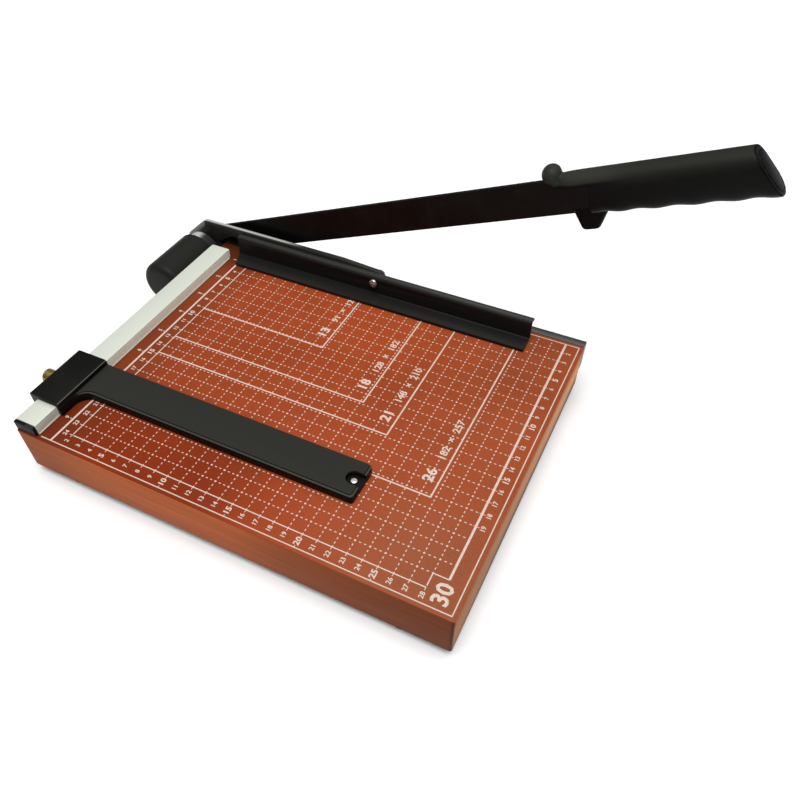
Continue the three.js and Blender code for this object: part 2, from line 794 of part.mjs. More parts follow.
// Flat steel lever that rises from its hub, passes over the board and ends at the press bar
function clamp_lever() {
  const low = board_top + lever_over_board;
  const top = low + lever_height;
  const taper = bar_screw_x - lever_taper;
  const on_hub = (degrees) => {
    const turn = THREE.MathUtils.degToRad(degrees);
    return [
      pivot_x + lever_hub_radius * Math.cos(turn), pivot_z + lever_hub_radius * Math.sin(turn)];
  };
  const outline = rounded([
    on_hub(lever_leave_degrees),
    [pivot_x + lever_shoulder_out, top, lever_shoulder_round],
    [taper, top, lever_taper_round],
    [bar_screw_x, bar_screw_z + lever_end_radius],
    [bar_screw_x, bar_screw_z - lever_end_radius],
    [taper, low, lever_taper_round],
    [board_left + lever_bend, low, lever_bend_round],
    on_hub(lever_return_degrees),
    [pivot_x, pivot_z],
  ].reverse());
  return cut(
    joined(
      prism("y", outline, lever_front, lever_back),
      rod("y", lever_hub_radius, lever_front, lever_back, pivot, fine_round_steps),
      rod("y", lever_boss_radius, lever_front, blade_plane - fit_gap, pivot),
      rod("y", lever_end_radius, lever_front, lever_back, bar_screw_place)),
    rod("y", bolt_radius + fit_gap, lever_front - cut_overrun, blade_plane, pivot),
    rod("y", bar_screw.radius + fit_gap, lever_front - cut_overrun, lever_back + cut_overrun,
      bar_screw_place));
}

function bar_screw_solid() {
  const nut_end = lever_back + fit_gap + bar_nut_height;
  return pan_head("y", bar_screw, bar_web_front - fit_gap, nut_end + fit_gap, bar_screw_place);
}

function bar_spacer() {
  return tube("y", spacer_radius, bar_screw.radius + fit_gap,
    bar_web_back + fit_gap, lever_front - fit_gap, bar_screw_place);
}

function bar_nut() {
  const start = lever_back + fit_gap;
  return cut(
    hexagon("y", bar_nut_radius, start, start + bar_nut_height, bar_screw_place),
    rod("y", bar_screw.radius + fit_gap, start - cut_overrun,
      start + bar_nut_height + cut_overrun, bar_screw_place));
}

// Folded sheet: foot flange, upright web, and a head that leans back and rolls over
function press_bar() {
  const start = rail_right + bar_from_rail;
  const low = board_top + fit_gap + bar_sheet / 2;
  const web = bar_web_back - bar_sheet / 2;
  const shoulder = board_top + bar_web_height;
  const head_top = shoulder + bar_head_height;
  const outline = sheet_outline([
    [web - bar_flange_width + bar_sheet / 2, low],
    [web, low, bar_fold],
    [web, shoulder, bar_fold],
    [web + bar_head_lean, head_top, bar_curl_round],
    [web + bar_head_lean + bar_curl_width, head_top, bar_curl_round],
    [web + bar_head_lean + bar_curl_width, head_top - bar_curl_drop],
  ], bar_sheet);
  return cut(
    prism("x", outline, start, start + bar_length),
    rod("y", bar_screw.radius + fit_gap, bar_web_front - cut_overrun,
      bar_web_back + cut_overrun, bar_screw_place));
}

// Places on the paper stop
const head_left = rail_left - slide_gap - stop_outer_wall;
const head_inner_left = rail_left - slide_gap;
const head_inner_right = rail_right + slide_gap;
const head_right = head_inner_right + stop_inner_wall;
const stop_low = board_top + slide_gap;
const arm_end = rail_right + stop_arm_length;
const arm_front = stop_back - stop_arm_width;
const arm_top = board_top + stop_arm_top;
const recess_floor = arm_top - stop_recess_depth;
const recess_x = arm_end - stop_recess_from_end;
const recess_y = (arm_front + stop_back) / 2;

// Saddle over the rail, with an arm that is ribbed underneath
function stop_body() {
  const roof_low = rail_top + slide_gap;
  const roof_top = roof_low + stop_roof;
  const lip_clear = board_top + rail_lip_height + fit_gap;
  const saddle = rounded([
    [head_left, stop_low], [head_right, stop_low],
    [head_right, roof_top, 2 * stop_edge], [head_left, roof_top, 2 * stop_edge],
  ]);
  const channel = rounded([
    [head_inner_left, board_top], [rail_right + rail_lip + slide_gap, board_top],
    [rail_right + rail_lip + slide_gap, lip_clear], [head_inner_right, lip_clear],
    [head_inner_right, roof_low], [head_inner_left, roof_low],
  ]);
  const arm_outline = (front, corner) => rounded([
    [rail_middle, stop_back], [rail_middle, front - stop_arm_fillet - corner],
    [head_right, front - stop_arm_fillet - corner], [head_right, front, stop_arm_fillet],
    [arm_end - (front - arm_front), front, corner],
    [arm_end - (front - arm_front), stop_back, corner],
  ]);
  const ledge_top = arm_top - stop_ledge_drop;
  const block_start = arm_end - stop_end_block;
  const cell = (block_start - head_right - stop_wall) / (stop_rib_count + 1);
  const pockets = Array.from({ length: stop_rib_count + 1 }, (_, i) => prism(
    "z",
    rectangle(
      head_right + stop_wall + cell * i, arm_front + stop_wall,
      head_right + cell * (i + 1), stop_back - stop_wall),
    stop_low - cut_overrun, arm_top - stop_wall));
  const recess = joined(
    rod("z", stop_recess_radius, recess_floor, arm_top + cut_overrun, { x: recess_x, y: recess_y }),
    prism(
      "z",
      rectangle(recess_x, recess_y - stop_recess_radius,
        arm_end + cut_overrun, recess_y + stop_recess_radius),
      recess_floor, arm_top + cut_overrun));
  return cut(
    joined(
      prism("y", saddle, stop_front, stop_back, stop_edge / 2),
      prism("z", arm_outline(arm_front, stop_arm_corner), stop_low, ledge_top),
      prism("z", arm_outline(arm_front + stop_ledge_width, stop_arm_corner),
        stop_low, arm_top, stop_edge)),
    prism("y", channel, stop_front - cut_overrun, stop_back + cut_overrun),
    ...pockets,
    recess,
    rod("z", end_screw.radius + fit_gap, stop_low - cut_overrun, arm_top,
      { x: recess_x, y: recess_y }),
    rod("x", insert_radius + fit_gap, head_left - cut_overrun, head_inner_left + slide_gap,
      { y: thumb_y, z: thumb_z }));
}

const screw_bore = insert_radius - insert_wall;

function stop_insert() {
  return tube("x", insert_radius, screw_bore, head_left + fit_gap, head_inner_left,
    { y: thumb_y, z: thumb_z });
}

function stop_end_screw() {
  return pan_head("z", end_screw, recess_floor + fit_gap, stop_low + fit_gap,
    { x: recess_x, y: recess_y });
}

// Knurled head, collar and shank in one turned piece
function stop_thumbscrew() {
  const head_end = head_left - thumb_neck_length;
  const head_start = head_end - thumb_head_length;
  const teeth = new THREE.Shape(Array.from({ length: 2 * thumb_tooth_count }, (_, i) => {
    const radius = thumb_head_radius - (i % 2) * thumb_tooth_depth;
    const turn = Math.PI * i / thumb_tooth_count;
    return new THREE.Vector2(
      thumb_y + radius * Math.cos(turn), thumb_z + radius * Math.sin(turn));
  }));
  const place = { y: thumb_y, z: thumb_z };
  return joined(
    prism("x", teeth, head_start, head_end, thumb_edge),
    rod("x", thumb_collar_radius, head_end - thumb_edge, head_end + thumb_collar_length, place),
    rod("x", screw_bore - fit_gap, head_end - thumb_edge, rail_left - fit_gap, place));
}

function finish(color, roughness, metalness) {
  return () => new THREE.MeshStandardMaterial({ color, roughness, metalness });
}

const printed_wood = finish(0xa8401c, 0.5, 0);
const dark_steel = finish(0x35353a, 0.4, 0.8);
const aluminium = finish(0xd8d8d2, 0.35, 0.7);
const black_plastic = finish(0x1a1a1a, 0.45, 0);
const black_enamel = finish(0x101010, 0.35, 0.3);
const rubber = finish(0x181818, 0.85, 0);
const bright_steel = finish(0xb8b8b8, 0.3, 0.9);
const brass = finish(0xb89440, 0.35, 0.9);

const cutter = new THREE.Group();
cutter.name = "paper_cutter";

const blade_group = new THREE.Group();
blade_group.position.set(pivot_x, blade_plane, pivot_z);
blade_group.rotation.y = -THREE.MathUtils.degToRad(blade_raised_degrees);
cutter.add(blade_group);

function place(group, name, body, material) {
  const mesh = new THREE.Mesh(surface(body), material());
  mesh.name = name;
  group.add(mesh);
}

// Copies of one piece at a list of places, each with its number in its name
function place_each(group, name, places, make, material) {
  places.forEach((at, i) => place(group, `${name}_${i + 1}`, make(at, 0), material));
}

place(cutter, "base_board", base_board(), printed_wood);
place(cutter, "cutting_strip", cutting_strip(), dark_steel);
place_each(cutter, "strip_screw", strip_screw_places, strip_screw, bright_steel);
place(cutter, "rail", rail(), aluminium);
place(cutter, "rail_front_cap", rail_front_cap(), black_plastic);
place(cutter, "rail_back_cap", rail_back_cap(), black_plastic);
place_each(cutter, "rail_screw", rail_screw_places, rail_screw, bright_steel);
place_each(cutter, "foot", foot_places, foot, rubber);
place_each(cutter, "foot_screw", foot_places, foot_screw_solid, bright_steel);

place(cutter, "hinge_bracket", hinge_bracket(), bright_steel);
place_each(cutter, "bracket_screw", bracket_screw_places, bracket_screw, bright_steel);
place(cutter, "pivot_bolt", pivot_bolt(), bright_steel);
place(cutter, "pivot_washer", washer(head_washer_back - washer_thickness), bright_steel);
place(cutter, "spring_back_washer", washer(spring_back_washer_front), bright_steel);
place(cutter, "spring_front_washer", washer(spring_front_washer_front), bright_steel);
place(cutter, "pivot_spring", pivot_spring(), bright_steel);
place(cutter, "pivot_nut", pivot_nut(), bright_steel);
place(cutter, "spring_cover", spring_cover(), black_plastic);

place(blade_group, "blade_arm", blade_arm(), black_enamel);
place(blade_group, "handle", handle(), black_plastic);
place(blade_group, "handle_end_cap", handle_end_cap(), black_plastic);
place_each(blade_group, "handle_screw", grip_screw_places, handle_screw, bright_steel);

place(cutter, "clamp_lever", clamp_lever(), black_enamel);
place(cutter, "bar_screw", bar_screw_solid(), bright_steel);
place(cutter, "bar_spacer", bar_spacer(), bright_steel);
place(cutter, "bar_nut", bar_nut(), bright_steel);
place(cutter, "press_bar", press_bar(), black_enamel);

place(cutter, "stop_body", stop_body(), black_plastic);
place(cutter, "stop_insert", stop_insert(), brass);
place(cutter, "stop_end_screw", stop_end_screw(), bright_steel);
place(cutter, "stop_thumbscrew", stop_thumbscrew(), brass);

// The part stands on the origin
const extent = new THREE.Box3().setFromObject(cutter, true);
const footprint = extent.getCenter(new THREE.Vector3()).setZ(extent.min.z);
cutter.position.copy(footprint).negate();

console.log("least gap between turns of the spring:", least_coil_gap().toFixed(2), "mm");

export default cutter;
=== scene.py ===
"""Finishes, print, finer shapes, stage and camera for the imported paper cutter."""

import math

import bmesh
import bpy
from bpy.props import FloatProperty, FloatVectorProperty, PointerProperty
from mathutils import Matrix, Vector


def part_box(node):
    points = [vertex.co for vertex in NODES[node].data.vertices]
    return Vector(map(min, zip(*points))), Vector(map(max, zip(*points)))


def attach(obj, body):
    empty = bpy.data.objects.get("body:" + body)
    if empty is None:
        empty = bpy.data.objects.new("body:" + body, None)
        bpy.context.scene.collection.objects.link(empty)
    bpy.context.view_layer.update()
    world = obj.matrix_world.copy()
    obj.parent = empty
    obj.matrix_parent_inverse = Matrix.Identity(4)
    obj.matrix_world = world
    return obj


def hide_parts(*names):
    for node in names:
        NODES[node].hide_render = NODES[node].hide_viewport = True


bl_info = {
    "name": "Paper Cutter",
    "version": (1, 0, 0),
    "blender": (4, 5, 0),
    "location": "View3D > Sidebar > Paper Cutter",
    "description": "Dresses a packed paper cutter with finishes, print, detail and a studio",
    "category": "Object",
}

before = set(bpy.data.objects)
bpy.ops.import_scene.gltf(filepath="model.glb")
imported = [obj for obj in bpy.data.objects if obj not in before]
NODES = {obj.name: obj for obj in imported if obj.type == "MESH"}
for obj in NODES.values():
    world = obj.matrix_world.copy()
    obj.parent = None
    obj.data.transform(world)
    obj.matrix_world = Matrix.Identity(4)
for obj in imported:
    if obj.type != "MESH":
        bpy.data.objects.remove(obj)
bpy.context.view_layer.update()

# Sizes in millimetres, in a frame whose origin is the middle of the board's underside
MM = 0.001
BOARD_LOW, BOARD_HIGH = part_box("base_board")
HOME = Vector(((BOARD_LOW.x + BOARD_HIGH.x) / 2, (BOARD_LOW.y + BOARD_HIGH.y) / 2, BOARD_LOW.z))
TO_ROW = Matrix.Translation(HOME) @ Matrix.Scale(MM, 4)
BOARD_TOP = (BOARD_HIGH.z - BOARD_LOW.z) / MM
BOARD_LEFT = (BOARD_LOW.x - BOARD_HIGH.x) / 2 / MM
BOARD_FRONT = (BOARD_LOW.y - BOARD_HIGH.y) / 2 / MM
FLOOR = -6.0
GAP = 0.3

# The blade arm's own frame: along x from the pivot, up z, its inner face at y = 0
RAISED = math.radians(20.9)
PIVOT = Vector((BOARD_LEFT - 20, 130, BOARD_TOP - 9.3))
ARM_TO_ROW = TO_ROW @ Matrix.Translation(PIVOT) @ Matrix.Rotation(-RAISED, 4, "Y")

# The printed scale is measured from the rail's inner foot and the blade's plane
PRINT_HOME = Vector((BOARD_LEFT + 18.3, 130, BOARD_TOP))

# Steps of a rounded corner, and sides of round shapes
FINE_ARC = 8
SMALL_ROUND = 32
ROUND = 64
LARGE_ROUND = 96

OPTIONS = {"REGISTER", "UNDO"}


# Settings that a user would change


class CutterPrintSettings(bpy.types.PropertyGroup):
    """The white scale that is printed on the board."""

    ink: FloatVectorProperty(
        name="Ink", description="Colour of the printed lines and figures",
        subtype="COLOR", size=3, min=0, max=1, default=(0.61, 0.495, 0.425))
    fine_line: FloatProperty(
        name="Fine line", description="Width of the thin printed lines", default=0.75, min=0.2)
    heavy_line: FloatProperty(
        name="Heavy line", description="Width of the two thick ruler lines", default=1.5, min=0.2)
    dash: FloatProperty(
        name="Dash", description="Length of one dash of the grid", default=1.5, min=0.2)
    dash_width: FloatProperty(
        name="Dash width", description="Width of one dash of the grid", default=0.62, min=0.1)
    small_figure: FloatProperty(
        name="Small figures", description="Height of the plain figures", default=3.2, min=1)
    large_figure: FloatProperty(
        name="Large figures", description="Height of the figures at every fifth mark",
        default=3.9, min=1)


class CutterFinishSettings(bpy.types.PropertyGroup):
    """Colours of the board, the plastic and the metal."""

    lacquer: FloatVectorProperty(
        name="Lacquer", description="Colour of the board's top",
        subtype="COLOR", size=3, min=0, max=1, default=(0.288, 0.0495, 0.0124))
    stain: FloatVectorProperty(
        name="Stain", description="Colour of the board's front and back faces",
        subtype="COLOR", size=3, min=0, max=1, default=(0.416, 0.1035, 0.030))
    bare_wood: FloatVectorProperty(
        name="Bare wood", description="Colour of the board's ends",
        subtype="COLOR", size=3, min=0, max=1, default=(0.4425, 0.186, 0.077))
    plastic: FloatVectorProperty(
        name="Plastic", description="Colour of the grip, the cover and the paper stop",
        subtype="COLOR", size=3, min=0, max=1, default=(0.0042, 0.0042, 0.0035))
    enamel: FloatVectorProperty(
        name="Enamel", description="Colour of the press bar, the lever and the blade arm",
        subtype="COLOR", size=3, min=0, max=1, default=(0.004, 0.0038, 0.0036))
    aluminium: FloatVectorProperty(
        name="Aluminium", description="Colour of the rail",
        subtype="COLOR", size=3, min=0, max=1, default=(0.68, 0.71, 0.625))
    brass: FloatVectorProperty(
        name="Brass", description="Colour of the thumbscrew",
        subtype="COLOR", size=3, min=0, max=1, default=(0.50, 0.37, 0.11))


class CutterStageSettings(bpy.types.PropertyGroup):
    """The studio round the cutter."""

    overhead: FloatProperty(
        name="Overhead", description="Strength of the even light from above", default=1.1, min=0)
    horizon: FloatProperty(
        name="Horizon", description="Strength of the even light from the sides", default=0.1,
        min=0)
    key: FloatProperty(
        name="Key light", description="Power of the large soft light", default=124.0, min=0,
        subtype="POWER", unit="POWER")
    lens: FloatProperty(
        name="Lens", description="Focal length on a 36 mm wide sensor", default=32.13, min=1,
        subtype="DISTANCE_CAMERA", unit="CAMERA")


# Meshes


def rounded(corners, steps=FINE_ARC, closed=True):
    """An outline from corners (u, v, radius), with arcs where a radius is given."""
    points = []
    for i, corner in enumerate(corners):
        here = Vector(corner[:2])
        radius = corner[2] if len(corner) > 2 else 0
        loose = not closed and i in (0, len(corners) - 1)
        if not radius or loose:
            points.append(here)
            continue
        back = (Vector(corners[i - 1][:2]) - here).normalized()
        ahead = (Vector(corners[(i + 1) % len(corners)][:2]) - here).normalized()
        half = back.angle(ahead) / 2
        centre = here + (back + ahead).normalized() * radius / math.sin(half)
        start = here + back * radius / math.tan(half) - centre
        end = here + ahead * radius / math.tan(half) - centre
        first = math.atan2(start.y, start.x)
        sweep = (math.atan2(end.y, end.x) - first + math.pi) % (2 * math.pi) - math.pi
        for k in range(steps + 1):
            turn = first + sweep * k / steps
            points.append(centre + radius * Vector((math.cos(turn), math.sin(turn))))
    return points


def rectangle(left, low, right, high, radius=0):
    """The outline of a rectangle, with rounded corners if a radius is given."""
    corners = [(left, low), (right, low), (right, high), (left, high)]
    return rounded([(u, v, radius) for u, v in corners])


def sheet(corners, thickness):
    """A band of sheet along a middle line of corners (u, v, radius)."""
    line = rounded(corners, closed=False)
    sides = []
    for way in (1, -1):
        side = []
        for i, point in enumerate(line):
            into = point - line[max(i - 1, 0)]
            out = line[min(i + 1, len(line) - 1)] - point
            into, out = (into or out).normalized(), (out or into).normalized()
            along = (into + out).normalized()
            widen = 1 / max(along.dot(into), 0.5)
            side.append(point + Vector((-along.y, along.x)) * way * widen * thickness / 2)
        sides.append(side)
    return sides[0] + sides[1][::-1]


def shown(data, name="shape"):
    """An object for a mesh, text, light or camera, linked into the scene."""
    obj = bpy.data.objects.new(name, data)
    bpy.context.scene.collection.objects.link(obj)
    return obj


def from_faces(points, faces):
    """An object from points and faces, with its faces turned outwards."""
    mesh = bpy.data.meshes.new("shape")
    mesh.from_pydata([tuple(p) for p in points], [], faces)
    bm = bmesh.new()
    bm.from_mesh(mesh)
    bmesh.ops.remove_doubles(bm, verts=bm.verts, dist=1e-5)
    bmesh.ops.recalc_face_normals(bm, faces=bm.faces)
    bm.to_mesh(mesh)
    bm.free()
    return shown(mesh)


def turn_to(axis, u, v, w):
    """A point from two measures across an axis and one along it."""
    return {"x": (w, u, v), "y": (u, w, v), "z": (u, v, w)}[axis]


def prism(axis, outline, start, end):
    """An outline pushed along an axis."""
    count = len(outline)
    points = [turn_to(axis, p[0], p[1], w) for w in (start, end) for p in outline]
    faces = [tuple(range(count)), tuple(range(count, 2 * count))]
    faces += [(i, (i + 1) % count, count + (i + 1) % count, count + i) for i in range(count)]
    return from_faces(points, faces)


def turned(axis, profile, place=(0, 0), steps=ROUND):
    """A profile of (along, radius) turned about an axis through a place across it."""
    points, rings, faces = [], [], []
    for along, radius in profile:
        ring = []
        for k in range(1 if radius == 0 else steps):
            turn = 2 * math.pi * k / steps
            ring.append(len(points))
            u, v = place[0] + radius * math.cos(turn), place[1] + radius * math.sin(turn)
            points.append(turn_to(axis, u, v, along))
        rings.append(ring)
    closed = len(rings[0]) > 1
    for a, b in zip(rings, rings[1:] + (rings[:1] if closed else [])):
        for k in range(steps):
            low, low_next = a[k % len(a)], a[(k + 1) % len(a)]
            high, high_next = b[k % len(b)], b[(k + 1) % len(b)]
            face = list(dict.fromkeys((low, low_next, high_next, high)))
            if len(face) > 2:
                faces.append(tuple(face))
    return from_faces(points, faces)


def rod(axis, radius, start, end, place=(0, 0), steps=ROUND):
    """A plain cylinder along an axis."""
    return turned(axis, [(start, 0), (start, radius), (end, radius), (end, 0)], place, steps)


def loft(loops):
    """A skin over a row of closed loops, with flat ends."""
    count = len(loops[0])
    points = [p for loop in loops for p in loop]
    faces = [tuple(range(count)), tuple(len(points) - count + i for i in range(count))]
    for row in range(len(loops) - 1):
        for i in range(count):
            low, low_next = row * count + i, row * count + (i + 1) % count
            faces.append((low, low_next, low_next + count, low + count))
    return from_faces(points, faces)


def plain_mesh(obj):
    """The mesh of an object as its modifiers or its text settings leave it."""
    bpy.context.view_layer.update()
    return bpy.data.meshes.new_from_object(
        obj.evaluated_get(bpy.context.evaluated_depsgraph_get()))


def settled(obj):
    """Turns an object's modifiers into its own plain mesh."""
    made = plain_mesh(obj)
    obj.modifiers.clear()
    obj.data = made
    return obj


def combined(obj, operation, *others):
    """Joins an object with others, or cuts them out of it; they are used up."""
    for other in others:
        modifier = obj.modifiers.new("combine", "BOOLEAN")
        modifier.operation = operation
        modifier.solver = "EXACT"
        modifier.object = other
        settled(obj)
        bpy.data.objects.remove(other)
    return obj


def eased(obj, width, segments=2, degrees=32):
    """Rounds an object's sharp edges."""
    bm = bmesh.new()
    bm.from_mesh(obj.data)
    bmesh.ops.remove_doubles(bm, verts=bm.verts, dist=1e-4)
    bmesh.ops.dissolve_limit(
        bm, angle_limit=math.radians(0.6), verts=bm.verts, edges=bm.edges)
    bm.to_mesh(obj.data)
    bm.free()
    modifier = obj.modifiers.new("ease", "BEVEL")
    modifier.width = width
    modifier.segments = segments
    modifier.limit_method = "ANGLE"
    modifier.angle_limit = math.radians(degrees)
    modifier.use_clamp_overlap = True
    modifier.miter_outer = "MITER_ARC"
    return settled(obj)


def smooth(mesh, degrees=30):
    """Shades a mesh smoothly, except across sharper edges than an angle."""
    for polygon in mesh.polygons:
        polygon.use_smooth = True
    mesh.set_sharp_from_angle(angle=math.radians(degrees))


def middles(nodes, axis):
    """The middle of each node's box in millimetres, with nought along an axis."""
    places = []
    for node in nodes:
        low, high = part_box(node)
        place = TO_ROW.inverted() @ ((low + high) / 2)
        place["xyz".index(axis)] = 0
        places.append(place)
    return places


def piece(obj, name, body, material, nodes=(), matrix=TO_ROW, degrees=30):
    """Makes an object in millimetres a finished piece that rides on a body."""
    obj.name = name
    obj.data.name = name
    obj.data.transform(matrix)
    obj.data.materials.clear()
    obj.data.materials.append(material)
    smooth(obj.data, degrees)
    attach(obj, body)
    if nodes:
        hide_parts(*nodes)
    return obj


def dress(material, *nodes, degrees=30):
    """Gives nodes of the part a finish and smooth shading."""
    for obj in (NODES[node] for node in nodes):
        obj.data.materials.clear()
        obj.data.materials.append(material)
        weld = obj.modifiers.new("weld", "WELD")
        weld.merge_threshold = 1e-6
        for polygon in obj.data.polygons:
            polygon.use_smooth = True
        split = obj.modifiers.new("split", "EDGE_SPLIT")
        split.split_angle = math.radians(degrees)


# Geometry Nodes


def growth(name, inputs, build):
    """A geometry tree with named inputs, built by a function of (node, link, group input)."""
    tree = bpy.data.node_groups.new(name, "GeometryNodeTree")
    tree.interface.new_socket("Geometry", in_out="OUTPUT", socket_type="NodeSocketGeometry")
    for label, kind in inputs:
        tree.interface.new_socket(label, in_out="INPUT", socket_type=kind)
    source = tree.nodes.new("NodeGroupInput")

    def node(kind, *values, operation=None, **named):
        """A node's first output, once its sockets are fed in their order or by name."""
        made = tree.nodes.new(kind)
        if operation:
            made.operation = operation
        named = {key.replace("_", " "): value for key, value in named.items()}
        for key, value in (*enumerate(values), *named.items()):
            if isinstance(value, bpy.types.NodeSocket):
                tree.links.new(value, made.inputs[key])
            else:
                made.inputs[key].default_value = value
        return made.outputs[0]

    result = build(node, source.outputs)
    result = node("GeometryNodeRealizeInstances", Geometry=result)
    result = node(
        "GeometryNodeSetMaterial", Geometry=result, Material=source.outputs["Material"])
    tree.links.new(result, tree.nodes.new("NodeGroupOutput").inputs[0])
    return tree


def row_tree():
    """A tree that repeats a mark along a row, and the row in rows."""

    def build(node, given):
        mark = node("GeometryNodeMeshCube", Size=given["Mark size"])
        places = node(
            "GeometryNodeMeshLine", Count=given["Count"], Start_Location=given["Start"],
            Offset=given["Step"])
        row = node("GeometryNodeInstanceOnPoints", Points=places, Instance=mark)
        rows = node("GeometryNodeMeshLine", Count=given["Rows"], Offset=given["Row step"])
        return node("GeometryNodeInstanceOnPoints", Points=rows, Instance=row)

    return growth("rows of marks", [
        ("Mark size", "NodeSocketVector"), ("Start", "NodeSocketVector"),
        ("Count", "NodeSocketInt"), ("Step", "NodeSocketVector"), ("Rows", "NodeSocketInt"),
        ("Row step", "NodeSocketVector"), ("Material", "NodeSocketMaterial")], build)


def given_shape(node, given):
    """The mesh of the object that a tree's Shape input names."""
    return node("GeometryNodeObjectInfo", Object=given["Shape"]).node.outputs["Geometry"]


def places_tree():
    """A tree that copies a shape to places."""

    def build(node, given):
        return node(
            "GeometryNodeInstanceOnPoints", Points=given["Places"],
            Instance=given_shape(node, given))

    return growth("copies at places", [
        ("Places", "NodeSocketGeometry"), ("Shape", "NodeSocketObject"),
        ("Material", "NodeSocketMaterial")], build)


def ring_tree():
    """A tree that turns copies of a shape about x, in equal steps."""

    def build(node, given):
        shape = given_shape(node, given)
        places = node("GeometryNodeMeshLine", Count=given["Count"], Offset=(0, 0, 0))
        index = node("GeometryNodeInputIndex")
        step = node("ShaderNodeMath", 2 * math.pi, given["Count"], operation="DIVIDE")
        turn = node("ShaderNodeMath", index, step, operation="MULTIPLY")
        rotation = node("ShaderNodeCombineXYZ", X=turn)
        return node(
            "GeometryNodeInstanceOnPoints", Points=places, Instance=shape, Rotation=rotation)

    return growth("ring about x", [
        ("Shape", "NodeSocketObject"), ("Count", "NodeSocketInt"),
        ("Material", "NodeSocketMaterial")], build)


def grown(tree, points=(), **values):
    """The mesh that a geometry tree makes from its named inputs; a Shape is used up."""
    mesh = bpy.data.meshes.new("grown")
    mesh.from_pydata([tuple(p) for p in points], [], [])
    obj = shown(mesh)
    modifier = obj.modifiers.new("grow", "NODES")
    modifier.node_group = tree
    sockets = {s.name: s.identifier for s in tree.interface.items_tree if s.in_out == "INPUT"}
    for key, value in values.items():
        modifier[sockets[key.replace("_", " ")]] = value
    settled(obj)
    if "Shape" in values:
        bpy.data.objects.remove(values["Shape"])
    return obj


def merged(objects):
    """One object from the meshes of several."""
    bm = bmesh.new()
    for obj in objects:
        bm.from_mesh(obj.data)
        bpy.data.objects.remove(obj)
    mesh = bpy.data.meshes.new("merged")
    bm.to_mesh(mesh)
    bm.free()
    return shown(mesh)


# Shader maths


def maths(operation, swapped=False):
    """A method that feeds a Math node with a value and what stands beside it."""

    def method(value, *others):
        values = (*others, value) if swapped else (value, *others)
        return value.finish.value(
            "ShaderNodeMath", {"operation": operation}, dict(enumerate(values)))

    return method


class Value:
    """A shader socket that takes Python's own operators."""

    __add__ = __radd__ = maths("ADD")
    __sub__, __rsub__ = maths("SUBTRACT"), maths("SUBTRACT", True)
    __mul__ = __rmul__ = maths("MULTIPLY")
    __gt__, __lt__ = maths("GREATER_THAN"), maths("LESS_THAN")
    __abs__ = maths("ABSOLUTE")

    def __init__(self, finish, socket):
        self.finish, self.socket = finish, socket

    def eased(self, low, high):
        """0 below low, 1 above high and a smooth step between."""
        return self.finish.value(
            "ShaderNodeMapRange", {"interpolation_type": "SMOOTHSTEP"},
            {"Value": self, "From Min": low, "From Max": high})


